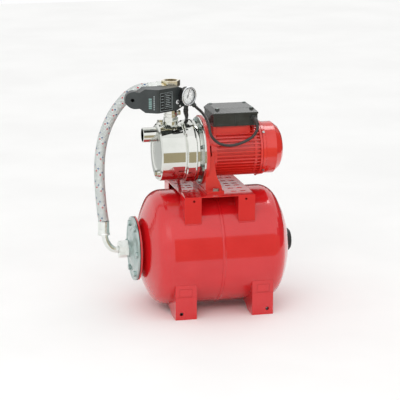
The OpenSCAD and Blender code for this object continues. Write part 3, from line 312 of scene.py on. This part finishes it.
TIE_X, TIE_Z = COIL_X + 46, 9.7
tie_outline = [(-9, -9.2), (9, -9.2), (9.8, -8), (9.8, 7.8), (8.6, 9.2), (-8.6, 9.2), (-9.8, 7.8), (-9.8, -8)]
tie_corners = [(TIE_X + dx, TIE_Z + dz) for dx, dz in tie_outline]
coil_tie = solid_of("coil_tie", band(tie_corners, width=4.6, thick=0.39))


# Plug: a moulded grip over the two pins, with finger ribs, and a tapered, ringed sleeve for the lead
plug_place = facing((PLUG_X, COIL_Y + WIDE, PLUG_Z), (1, 0, 0))
grip = [(4.1, 0), (7, 0), (8.5, 3), (8, 4), (10, 6.5), (9.4, 7.5), (12.5, 11), (15.5, 13.4), (17.4, 16),
    (16.6, 18), (17.6, 20), (16.8, 22), (18, 24), (18.8, 27), (19, 37), (18.2, 38), (2.5, 38), (2.5, 37)]
plug_grip = solid_of("plug_grip", lathe(grip, plug_place))
pin_profile = [(0.01, 36), (2.4, 36), (2.4, 55.5), (1.6, 57), (0.01, 57)]
PIN_OFFSET = 9.5


def pins(bm):
    for offset in (-PIN_OFFSET, PIN_OFFSET):
        lathe(pin_profile, plug_place @ Matrix.Translation((0, offset * MM, 0)), 20)(bm)


plug_pins = solid_of("plug_pins", pins)
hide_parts("mains_plug")
print("plug and pins on the mains lead")

# %% [markdown]
# ## Gauge dial and bezel
# The gauge's case has an empty recess behind its lens. The dial is a white enamelled disc whose ticks
# and figures are thin raised shapes, like thick printing ink. It reads from 0 to 6 over three quarters
# of a turn. A chromed bezel is rolled over the case's rim.

# %% Dial, ticks, figures and bezel
CREASE_X, CREASE_Y, FACE_ANGLE = -137.908, -78.0, math.radians(31)


def on_right_face(along, height):
    """A matrix on the controller's right face, Z out of it; along and height are in mm."""
    x_axis = Vector((math.cos(FACE_ANGLE), math.sin(FACE_ANGLE), 0))
    out = Vector((math.sin(FACE_ANGLE), -math.cos(FACE_ANGLE), 0))
    at = Vector((CREASE_X, CREASE_Y, height)) + along * x_axis
    return Matrix.Translation(at * MM) @ Matrix((x_axis, (0, 0, 1), out)).transposed().to_4x4()


def on_left_face(along, height):
    """The same on the left face, whose mm count from the crease towards the left."""
    x_axis = Vector((math.cos(FACE_ANGLE), -math.sin(FACE_ANGLE), 0))
    out = Vector((-math.sin(FACE_ANGLE), -math.cos(FACE_ANGLE), 0))
    at = Vector((CREASE_X, CREASE_Y, height)) - along * x_axis
    return Matrix.Translation(at * MM) @ Matrix((x_axis, (0, 0, 1), out)).transposed().to_4x4()


def slabs(place, rows, low, high):
    """Thin blocks in mm: each row is the middle x and y, width, height and a turn about the origin."""
    def build(bm):
        for x, y, w, h, turned in rows:
            spin = place @ Matrix.Rotation(turned, 4, "Z")
            corners = [(x + i * w / 2, y + j * h / 2) for i, j in ((-1, -1), (1, -1), (1, 1), (-1, 1))]
            under, over = ([bm.verts.new(spin @ (Vector((cx, cy, z)) * MM)) for cx, cy in corners]
                for z in (low, high))
            bm.faces.new(under[::-1])
            bm.faces.new(over)
            for i in range(4):
                j = (i + 1) % 4
                bm.faces.new((under[i], under[j], over[j], over[i]))
    return build


DIAL_R, DIAL_HOLE_R, DIAL_Z = 19.3, 1.4, 8.8
DIAL_BACK, DIAL_FACE, TICK_BASE, TICK_FACE = (DIAL_Z + rise for rise in (0.02, 0.17, 0.15, 0.24))
FULL_SCALE, SWEEP = 6, math.radians(270)
TICKS_PER_UNIT, FIGURE_R = 5, 11.6
gauge_place = on_right_face(88, 528)
dial_profile = [(DIAL_HOLE_R, DIAL_BACK), (DIAL_R, DIAL_BACK), (DIAL_R, DIAL_FACE), (DIAL_HOLE_R, DIAL_FACE)]
gauge_dial = solid_of("gauge_dial", lathe(dial_profile, gauge_place, 64), smooth=False)
ticks = []
for i in range(TICKS_PER_UNIT * FULL_SCALE + 1):
    turned = SWEEP / 2 - SWEEP * i / (TICKS_PER_UNIT * FULL_SCALE)
    inset, width, height = (2.9, 1.0, 3.4) if i % TICKS_PER_UNIT == 0 else (2.3, 0.5, 1.8)
    ticks.append((0, DIAL_R - inset, width, height, turned))
gauge_ticks = solid_of("gauge_ticks", slabs(gauge_place, ticks, TICK_BASE, TICK_FACE), smooth=False)


def figures():
    """The figures 0 to 6 in one mesh, each upright at its tick."""
    bm = bmesh.new()
    for n in range(FULL_SCALE + 1):
        words = bpy.data.curves.new(f"figure_{n}", "FONT")
        words.body, words.size, words.extrude = str(n), 4.6 * MM, 0.04 * MM
        words.align_x, words.align_y = "CENTER", "CENTER"
        holder = bpy.data.objects.new(f"figure_{n}", words)
        flat = bpy.data.meshes.new_from_object(holder)
        a = SWEEP / 2 - SWEEP * n / FULL_SCALE
        spot = Vector((-math.sin(a) * FIGURE_R, math.cos(a) * FIGURE_R, DIAL_Z + 0.2)) * MM
        flat.transform(gauge_place @ Matrix.Translation(spot))
        bm.from_mesh(flat)
        bpy.data.objects.remove(holder)
        bpy.data.curves.remove(words)
        bpy.data.meshes.remove(flat)
    mesh = bpy.data.meshes.new("gauge_figures")
    bmesh.ops.remove_doubles(bm, verts=bm.verts, dist=1e-6)
    bm.to_mesh(mesh)
    bm.free()
    return piece("gauge_figures", mesh)


gauge_figures = figures()
bezel_profile = [(19.7, 12.9), (19.7, 14.6), (20.5, 15.2), (22.1, 15.2), (22.95, 14.4), (22.95, 11.6),
    (22.55, 11.6), (22.55, 14.35), (20.0, 14.35), (20.0, 12.9)]
gauge_bezel = solid_of("gauge_bezel", lathe(bezel_profile, gauge_place, 96))
print("ticks:", len(ticks), "figures: 0 to", FULL_SCALE)

# %% [markdown]
# ## Labels, button ring and lamp
# The right face carries a black foil label with a thin pale frame and plain rows, and the left face has
# a small upright badge of plain bars. Nothing is written on them. The restart button sits in a white
# ring, with a small round lamp beside it.

# %% Labels, button ring and lamp
def frame_of(x0, y0, x1, y1, line):
    """Four thin bars round a rectangle."""
    mx, my, w, h = (x0 + x1) / 2, (y0 + y1) / 2, x1 - x0, y1 - y0
    return [(mx, y0, w + line, line, 0), (mx, y1, w + line, line, 0), (x0, my, line, h - line, 0),
        (x1, my, line, h - line, 0)]


label_place = on_right_face(27, 521)
FOIL_LAYER, INK_LAYER, BADGE_LAYER = (0.01, 0.12), (0.1, 0.2), (0.01, 0.16)
label_foil = solid_of("label_foil", slabs(label_place, [(0, 0, 42, 45, 0)], *FOIL_LAYER), smooth=False)
printing = frame_of(-19.5, -21, 19.5, 21, 0.6) + frame_of(-5, -16, 17, 17.5, 0.5)
printing += [(-12.5, 14 - 7 * i, 8 - 2 * (i % 2), 1.1, 0) for i in range(5)]
printing += [(6 - 2 * (i % 2), 13.5 - 4.2 * i, 16 - 4 * (i % 2), 1.0, 0) for i in range(7)]
label_print = solid_of("label_print", slabs(label_place, printing, *INK_LAYER), smooth=False)
badge = [(0, 11 - 4.4 * i, 7.5, 3.0 - 0.4 * (i % 2), 0) for i in range(6)]
side_badge = solid_of("side_badge", slabs(on_left_face(19, 518), badge, *BADGE_LAYER), smooth=False)
side_bars = [(0, 15 - 5 * i, 2.2, 3.4, 0) for i in range(7)]
side_print = solid_of("side_print", slabs(on_left_face(9.5, 520), side_bars, *FOIL_LAYER), smooth=False)
ring_profile = [(3.5, 0.02), (5.0, 0.02), (5.0, 0.9), (4.4, 1.3), (3.5, 1.3)]
button_ring = solid_of("button_ring", lathe(ring_profile, on_right_face(63, 515.5)))
lamp_profile = [(0.01, 0.02), (2.6, 0.02), (2.6, 0.7), (2.0, 1.3), (1.0, 1.65), (0.01, 1.75)]
lamp_lens = solid_of("lamp_lens", lathe(lamp_profile, on_right_face(71.5, 505), 32))
print("labels and lamp on the controller")

# %% [markdown]
# ## Welds
# The plate's four legs stand on the tank in short runs of weld, which leave a rippled bead.

# %% Weld beads
TANK_R, TANK_Z, LEG_Y = 140, 151, 114
leg_foot_z = TANK_Z + math.sqrt(TANK_R ** 2 - LEG_Y ** 2)
LEG_MIDDLES, LEG_W = (-61.8, 69.2), 41
BEAD_R, RIPPLE, RIPPLE_PITCH = 1.7, 0.25, 2.4
BEAD_OUT, BEAD_SUNK, BEAD_STEP, BARE_END = 0.3, 0.4, 0.5, 1


def welds(bm):
    for leg_x in LEG_MIDDLES:
        for side in (-1, 1):
            runs = np.arange(-LEG_W / 2 + BARE_END, LEG_W / 2 - BARE_END, BEAD_STEP)
            bead_y, bead_z = side * (LEG_Y + BEAD_OUT), leg_foot_z - BEAD_SUNK
            line = np.stack([leg_x + runs, np.full(len(runs), bead_y), np.full(len(runs), bead_z)], 1)
            ripple = BEAD_R + RIPPLE * np.cos(2 * math.pi * runs / RIPPLE_PITCH)
            bead = tube("bead", line * MM, ripple[:, None] * MM, 10)
            bm.from_mesh(bead)
            bpy.data.meshes.remove(bead)


weld_beads = solid_of("weld_beads", welds)
print("weld beads under four legs")

# %% [markdown]
# ## Finishes
# Each finish starts from what the real one is and how its surface was made. A colour is the sRGB hex
# value that a paint chart or a colour picker gives, and one function turns it into the linear values
# that shaders work with. One more function adds a node with its settings and its links. Patterns are
# scaled by a real size: a noise scale of 1000 / 2 has features about 2 mm across.

# %% Colour, nodes and scale
def linear(hex_colour):
    values = [int(hex_colour[i:i + 2], 16) / 255 for i in (0, 2, 4)]
    return [v / 12.92 if v <= 0.04045 else ((v + 0.055) / 1.055) ** 2.4 for v in values] + [1.0]


def every(mm):
    """The pattern scale that repeats about every so many millimetres."""
    return 1000 / mm


def add(tree, kind, sockets, **settings):
    """Adds a shader node. Sockets maps an input's name or number to a value or to another node's output."""
    node = tree.nodes.new("ShaderNode" + kind)
    for setting, value in settings.items():
        setattr(node, setting, value)
    for socket, value in sockets.items():
        if isinstance(value, bpy.types.NodeSocket):
            tree.links.new(value, node.inputs[socket])
        else:
            node.inputs[socket].default_value = value
    return node


def finish_named(name, **shader_values):
    """A material with its Principled shader's own sockets set: (material, node tree, shader)."""
    material = bpy.data.materials.new(name)
    material.use_nodes = True
    tree = material.node_tree
    shader = tree.nodes["Principled BSDF"]
    for socket, value in shader_values.items():
        shader.inputs[socket.replace("_", " ").title().replace("Ior", "IOR")].default_value = value
    return material, tree, shader


def object_place(tree, stretch=(1, 1, 1)):
    """The object's own coordinates, stretched where a pattern runs along one direction."""
    where = add(tree, "TexCoord", {})
    return add(tree, "Mapping", {"Vector": where.outputs["Object"], "Scale": stretch}).outputs["Vector"]


def mottled(tree, at, size_mm, dark, light, detail=3):
    """A colour that drifts between two close shades."""
    noise = add(tree, "TexNoise", {"Vector": at, "Scale": every(size_mm), "Detail": detail})
    ramp = add(tree, "ValToRGB", {"Fac": noise.outputs["Fac"]})
    ramp.color_ramp.elements[0].position, ramp.color_ramp.elements[1].position = 0.35, 0.65
    ramp.color_ramp.elements[0].color, ramp.color_ramp.elements[1].color = linear(dark), linear(light)
    return ramp.outputs["Color"]


def spread(tree, value, low, high):
    """A value from 0 to 1, spread over a range, for roughness."""
    return add(tree, "MapRange", {"Value": value, "To Min": low, "To Max": high}).outputs["Result"]


def bumped(tree, shader, height, depth_mm, normal=None):
    """Gives the shader relief of that depth, on top of a normal if there is one."""
    sockets = {"Height": height, "Distance": depth_mm * MM, "Strength": 1.0}
    if normal:
        sockets["Normal"] = normal
    bump = add(tree, "Bump", sockets)
    tree.links.new(bump.outputs["Normal"], shader.inputs["Normal"])


def eased_edges(tree, radius_mm):
    """Normals that roll over sharp edges, as paint and moulded plastic do."""
    return add(tree, "Bevel", {"Radius": radius_mm * MM}, samples=4).outputs["Normal"]


print("colour and node helpers ready")

# %% [markdown]
# ## Red paint, three ways
# - The tank, its feet and the pump plate are deep-drawn steel with a polyester powder coat. The powder
#   flows as it bakes, which leaves faint orange peel some 3 mm across and a roughness of about 0.15.
# - The motor is cast and extruded aluminium with sprayed enamel: a little more orange and less glossy.
# - The fan cover is pressed sheet under the same enamel, and its smooth face mirrors more.

# %% Red powder coat and enamel
def red_paint(name, dark, light, peel_mm, peel_depth, rough, edge_mm):
    material, tree, shader = finish_named(name, ior=1.5, coat_weight=0.6, coat_roughness=rough * 0.6,
        coat_ior=1.5)
    at = object_place(tree)
    tree.links.new(mottled(tree, at, 60, dark, light), shader.inputs["Base Color"])
    peel = add(tree, "TexNoise", {"Vector": at, "Scale": every(peel_mm), "Detail": 2.0, "Roughness": 0.4})
    tree.links.new(spread(tree, peel.outputs["Fac"], rough, rough + 0.08), shader.inputs["Roughness"])
    bumped(tree, shader, peel.outputs["Fac"], peel_depth, eased_edges(tree, edge_mm))
    return material


powder_coat = red_paint("polyester_powder_coat_red", "cb161c", "d11c21", 3.0, 0.012, 0.12, 0.8)
cast_enamel = red_paint("sprayed_enamel_on_cast_aluminium", "d0241a", "d82a1f", 1.6, 0.05, 0.3, 0.6)
sheet_enamel = red_paint("sprayed_enamel_on_sheet_steel", "d2251a", "da2c20", 4.0, 0.008, 0.13, 1.2)
print("three reds")

# %% [markdown]
# ## Metals
# The pump is stainless sheet that was drawn and then polished on a lathe, so it mirrors its
# surroundings through faint rings. The tank's flange and the bolts are zinc plated, with a cloudy
# blue-green bloom. The hose's ferrules, nuts and elbow are bright nickel, and the fitting is
# hot-pressed brass under a thin nickel flash. The hidden shaft and bearings are turned steel, and the
# restart button and the gauge's bezel are chrome plated.

# %% Stainless, zinc, nickel, brass, steel and chrome
METAL_EDGE = 0.4
FLAT_END = -0.93
END_TINT = "b4b8b2"


def metal(name, dark, light, cloud_mm, rough_low, rough_high, grain_stretch, grain_mm, grain_depth,
        brushed_end=0.0):
    """A metal finish. Above 0, brushed_end roughens and dulls flat ends that face -X."""
    material, tree, shader = finish_named(name, metallic=1.0)
    at = object_place(tree)
    shade = mottled(tree, at, cloud_mm, dark, light)
    cloud = add(tree, "TexNoise", {"Vector": at, "Scale": every(cloud_mm * 0.7), "Detail": 4.0})
    rough = spread(tree, cloud.outputs["Fac"], rough_low, rough_high)
    if brushed_end:
        normal = add(tree, "NewGeometry", {}).outputs["Normal"]
        facing_x = add(tree, "SeparateXYZ", {0: normal}).outputs["X"]
        flat_end = add(tree, "Math", {0: facing_x, 1: FLAT_END}, operation="LESS_THAN").outputs[0]
        rougher = {0: flat_end, 1: brushed_end, 2: rough}
        rough = add(tree, "Math", rougher, operation="MULTIPLY_ADD").outputs[0]
        duller = {0: flat_end, 6: shade, 7: linear(END_TINT)}
        shade = add(tree, "Mix", duller, data_type="RGBA").outputs[2]
    tree.links.new(shade, shader.inputs["Base Color"])
    tree.links.new(rough, shader.inputs["Roughness"])
    stretched = object_place(tree, grain_stretch)
    grain = add(tree, "TexNoise", {"Vector": stretched, "Scale": every(grain_mm), "Detail": 2.0})
    bumped(tree, shader, grain.outputs["Fac"], grain_depth, eased_edges(tree, METAL_EDGE))
    return material


RINGS = (1, 0.05, 0.05)
EVEN = (1, 1, 1)
polished_stainless = metal("mirror_polished_stainless", "d6d8d2", "e0e1dc", 45, 0.02, 0.07, RINGS, 1.5,
    0.0012, brushed_end=0.24)
zinc_plate = metal("bright_zinc_plating", "a6b5b2", "b9c6c3", 24, 0.26, 0.36, EVEN, 1.2, 0.01)
nickel_brass = metal("nickel_flashed_brass", "e0d5b6", "efe8d4", 20, 0.12, 0.22, EVEN, 2.0, 0.006)
bright_nickel = metal("bright_nickel_plating", "dde1dc", "ecefeb", 12, 0.14, 0.28, EVEN, 1.4, 0.006)
turned_steel = metal("turned_steel", "8d9093", "a3a6a8", 10, 0.22, 0.36, RINGS, 0.6, 0.006)
chrome = metal("chrome_plating", "dcdfe2", "e6e8ea", 10, 0.03, 0.08, EVEN, 3.0, 0.002)
print("six metals")

# %% [markdown]
# ## Plastics and rubber
# The controller and the terminal box are moulded in glass-filled nylon, whose tool was spark eroded:
# a fine even grain that scatters light. Cable sheath and the air valve's cap are soft black rubber. The
# pump's ejector and diffuser and the check valve's poppet are ivory acetal. The dial, the labels and
# the ring round the button are thin enamel, foil, ink and white nylon.

# %% Moulded plastics and rubber
def moulded(name, dark, light, rough, grain_mm, grain_depth, edge_mm=0.7):
    material, tree, shader = finish_named(name, ior=1.5)
    at = object_place(tree)
    tree.links.new(mottled(tree, at, 25, dark, light), shader.inputs["Base Color"])
    grain = add(tree, "TexNoise", {"Vector": at, "Scale": every(grain_mm), "Detail": 3.0})
    tree.links.new(spread(tree, grain.outputs["Fac"], rough - 0.05, rough + 0.07), shader.inputs["Roughness"])
    bumped(tree, shader, grain.outputs["Fac"], grain_depth, eased_edges(tree, edge_mm))
    return material


controller_nylon = moulded("glass_filled_nylon_charcoal", "2a2f2f", "333939", 0.34, 0.7, 0.02, 1.6)
box_nylon = moulded("glass_filled_nylon_black", "2b2e2c", "343836", 0.22, 0.8, 0.012, 1.6)
cap_rubber = moulded("epdm_rubber", "1d1d1d", "272625", 0.55, 0.9, 0.02)
sheath_rubber = moulded("cable_rubber", "2b2928", "363230", 0.32, 1.1, 0.015)
acetal = moulded("ivory_acetal", "d9cfae", "e2dabd", 0.35, 1.0, 0.01)
capacitor_shell = moulded("capacitor_polypropylene", "c9cbc8", "d3d5d2", 0.4, 1.2, 0.01)
needle_enamel = moulded("black_needle_enamel", "101010", "181818", 0.3, 0.6, 0.004, 0.1)
gauge_enamel = moulded("black_gauge_enamel", "1c1c1d", "242425", 0.25, 0.9, 0.006)
carbon_face = moulded("sintered_seal_carbon", "232326", "303033", 0.3, 0.4, 0.005, 0.1)
white_nylon = moulded("white_nylon", "e6e8e8", "f2f3f3", 0.3, 0.9, 0.006)
dial_enamel = moulded("white_dial_enamel", "f1f2f0", "fafaf8", 0.35, 1.0, 0.002, 0.05)
label_film = moulded("black_label_foil", "15191a", "1c2021", 0.3, 1.0, 0.002, 0.05)
pale_ink = moulded("pale_printing_ink", "98a3a3", "a9b3b3", 0.5, 0.8, 0.002, 0.05)
badge_film = moulded("grey_green_badge_foil", "6f918c", "86a5a0", 0.35, 0.9, 0.002, 0.05)
print("fourteen mouldings")

# %% [markdown]
# ## Braid, sheet stacks, wire and glass
# The hose sleeve mixes three threads: bright wire, and the two tracers, whose places are stored on the
# mesh. A darker grey in the low grooves between the strands, also stored on the mesh, is painted shade.
# Fine lines across each strand stand for its separate wires. The motor's core is a stack of 0.5 mm
# electrical sheets, drawn as lines about 9 mm apart so that they show. The windings are varnished
# copper, and their darker bands between the wires are painted shade.

# %% Braid, core, windings and lens
braid, tree, shader = finish_named("plaited_stainless_wire", metallic=0.5, roughness=0.45)
at = object_place(tree)
steel_shade = mottled(tree, at, 5, "cfd6d3", "eef1ef", 4)
# The groove layer paints a darker grey into the grooves, as painted shade; the tracers are the threads' own
# colours
for thread, colour in (("groove_painted_shade", "59605e"), ("blue_thread", "10427c"), ("red_thread", "c01830")):
    marked = add(tree, "Attribute", {}, attribute_name=thread)
    steel_shade = add(tree, "Mix", {0: marked.outputs["Fac"], 6: steel_shade, 7: linear(colour)},
        data_type="RGBA").outputs[2]
tree.links.new(steel_shade, shader.inputs["Base Color"])
wires = add(tree, "TexWave", {"Vector": at, "Scale": every(1.6), "Distortion": 3.0, "Detail": 2.0})
bumped(tree, shader, wires.outputs["Fac"], 0.06)


# The wave texture multiplies a place by this before it takes the sine
WAVE_FACTOR = 20


def lined(name, dark, light, metallic, rough, line_mm, depth, distortion=0.0):
    """Parallel lines across X, as sheets in a stack or wires side by side, 2 pi times line_mm apart."""
    material, tree, shader = finish_named(name, metallic=metallic, roughness=rough)
    at = object_place(tree)
    scale = every(line_mm) / WAVE_FACTOR
    wave = add(tree, "TexWave", {"Vector": at, "Scale": scale, "Distortion": distortion})
    ramp = add(tree, "ValToRGB", {"Fac": wave.outputs["Fac"]})
    ramp.color_ramp.elements[0].color, ramp.color_ramp.elements[1].color = linear(dark), linear(light)
    tree.links.new(ramp.outputs["Color"], shader.inputs["Base Color"])
    bumped(tree, shader, wave.outputs["Fac"], depth)
    return material


# The core's darker lines are the joints between its sheets; the windings' darker bands between the wires are
# painted shade
core_sheets = lined("electrical_sheet_stack", "5d6064", "83868a", 0.9, 0.4, 1.5, 0.06)
copper_wire = lined("varnished_copper_wire", "8c4a22", "c9733a", 0.85, 0.3, 1.2, 0.1, 2.0)
lens, tree, shader = finish_named("acrylic_lens", ior=1.49, roughness=0.04, alpha=0.14)
tree.links.new(mottled(tree, object_place(tree), 12, "eef4f4", "ffffff"), shader.inputs["Base Color"])
print("braid, stacks, wire and lens")

# %% [markdown]
# ## Putting the finishes on
# The record says which material slot each CAD node has, so most nodes get their finish by slot. A few
# nodes that share a slot look different on the real set, such as the controller and the terminal box.
# The pieces added above get theirs by name. The unlit lamp is as milky as the capacitor's case.

# %% A finish for every node and piece
by_slot = {"tank_red": powder_coat, "motor_red": cast_enamel, "cover_red": sheet_enamel,
    "zinc_plate": zinc_plate, "stainless": polished_stainless, "epdm": cap_rubber, "brass": nickel_brass,
    "black_plastic": box_nylon, "ivory_plastic": acetal, "steel": turned_steel, "seal_carbon": carbon_face,
    "electrical_steel": core_sheets, "copper_winding": copper_wire, "capacitor_case": capacitor_shell,
    "button_chrome": chrome, "gauge_black": gauge_enamel, "needle_black": needle_enamel, "gauge_glass": lens,
    "steel_braid": braid, "cable_rubber": sheath_rubber}
by_node = {"controller_housing": controller_nylon, "controller_cover": controller_nylon,
    "air_valve_cap": cap_rubber, "hose_ferrules": bright_nickel, "hose_elbow": bright_nickel,
    "swivel_nuts": bright_nickel}


def dress(made, material):
    made.data.materials.clear()
    made.data.materials.append(material)


for part in frame["record"]["subparts"]:
    dress(nodes[part["node"]], by_node.get(part["node"], by_slot[part["material_slot"]]))
for made, material in ((hose_braid, braid), (plug_pins, nickel_brass), (gauge_dial, dial_enamel),
        (gauge_ticks, needle_enamel), (gauge_figures, needle_enamel), (gauge_bezel, chrome),
        (label_foil, label_film), (label_print, pale_ink), (side_badge, badge_film), (side_print, pale_ink),
        (button_ring, white_nylon), (lamp_lens, capacitor_shell), (weld_beads, powder_coat)):
    dress(made, material)
for made in (motor_sheath, mains_sheath, plug_grip, coil_tie, box_relief, down_relief):
    dress(made, sheath_rubber)
print("finishes on", len(nodes), "nodes")

# %% [markdown]
# ## Smooth and sharp
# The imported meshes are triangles. Shading them smooth only where faces meet at a small angle makes the
# tank and the pump run smoothly while the feet and the plate keep their crisp edges. The controller's
# cover and the terminal box's lid also get rounded edges.

# %% Smooth shading by angle
SMOOTH_BELOW, ROUND_ABOVE = math.radians(32), math.radians(25)
for node in nodes.values():
    node.data.polygons.foreach_set("use_smooth", [True] * len(node.data.polygons))
    node.data.set_sharp_from_angle(angle=SMOOTH_BELOW)
for name, width in (("controller_cover", 2.2), ("terminal_box_lid", 1.2)):
    rounding = nodes[name].modifiers.new("rounding", "BEVEL")
    rounding.width, rounding.segments = width * MM, 3
    rounding.limit_method, rounding.angle_limit = "ANGLE", ROUND_ABOVE
print("shading set")

# %% [markdown]
# ## Floor, light and the world
# A plain pale floor and an even, bright surround light the set softly, with one large lamp in front.
# Polished steel and glossy paint also need something to mirror. A wide white panel and a dull band at
# table height stand in front of the set, two dark panels stand behind it and at its side, and a small
# bright one lies above. All are seen only in reflections, so they shape the gloss and hide nothing.

# %% Floor, panels and light
def card(name, centre, size, facing_to, colour, strength):
    """A glowing panel that only reflections show."""
    bm = bmesh.new()
    bmesh.ops.create_grid(bm, x_segments=1, y_segments=1, size=0.5)
    mesh = bpy.data.meshes.new(name)
    bm.to_mesh(mesh)
    bm.free()
    made = bpy.data.objects.new(name, mesh)
    scene.collection.objects.link(made)
    turned = Vector(facing_to).to_track_quat("Z", "Y").to_matrix().to_4x4()
    made.matrix_world = Matrix.Translation(Vector(centre)) @ turned @ Matrix.Diagonal((*size, 1, 1))
    glow, _, shader = finish_named(name + "_glow", roughness=1.0, emission_strength=strength)
    shader.inputs["Base Color"].default_value = (0, 0, 0, 1)
    shader.inputs["Emission Color"].default_value = linear(colour)
    made.data.materials.append(glow)
    made.visible_camera = False
    made.visible_diffuse = False
    made.visible_shadow = False


FLOOR_HALF = 6
floor_corners = [(FLOOR_HALF * i, FLOOR_HALF * j, 0) for i, j in ((-1, -1), (1, -1), (1, 1), (-1, 1))]
floor_mesh = mesh_of("floor", floor_corners, [(0, 1, 2, 3)])
floor = bpy.data.objects.new("floor", floor_mesh)
scene.collection.objects.link(floor)
paper, tree, shader = finish_named("matt_white_paper", roughness=0.9, ior=1.3)
tree.links.new(mottled(tree, object_place(tree), 400, "f6f6f5", "fafaf9"), shader.inputs["Base Color"])
dress(floor, paper)

card("table_band", (2.475, -0.62, 0.23), (5.05, 0.455), (0, 1, 0), "b4a888", 0.98)
card("front_panel", (0, -0.75, 1.1), (5, 1.2), (0, 1, -0.35), "ffffff", 1.1)
card("dark_backdrop", (1.36, 1.3, 0.3), (3.4, 0.6), (0, -1, 0), "4c4a48", 1.0)
card("dark_side", (1.5, 0.3, 0.45), (3, 0.9), (-1, 0, 0), "4c4a48", 1.0)
card("top_light", (0.48, 0.22, 1.25), (0.58, 0.36), (0, 0, -1), "ffffff", 5.5)

world = bpy.data.worlds.new("white_room")
scene.world = world
world.use_nodes = True
world.node_tree.nodes["Background"].inputs["Color"].default_value = linear("ffffff")
world.node_tree.nodes["Background"].inputs["Strength"].default_value = 1.0


def softbox(name, place, aim, size, watts):
    light = bpy.data.lights.new(name, "AREA")
    light.shape, light.size, light.size_y, light.energy = "RECTANGLE", size[0], size[1], watts
    made = bpy.data.objects.new(name, light)
    scene.collection.objects.link(made)
    made.location = place
    made.rotation_euler = (Vector(place) - Vector(aim)).to_track_quat("Z", "Y").to_euler()
    made.visible_camera = False


softbox("key", (-1.2, -2.2, 2.2), (0, 0, 0.3), (1.6, 1.2), 14)
print("stage ready")

# %% [markdown]
# ## The end
# The view layer is brought up to date once more.

# %% The end
bpy.context.view_layer.update()
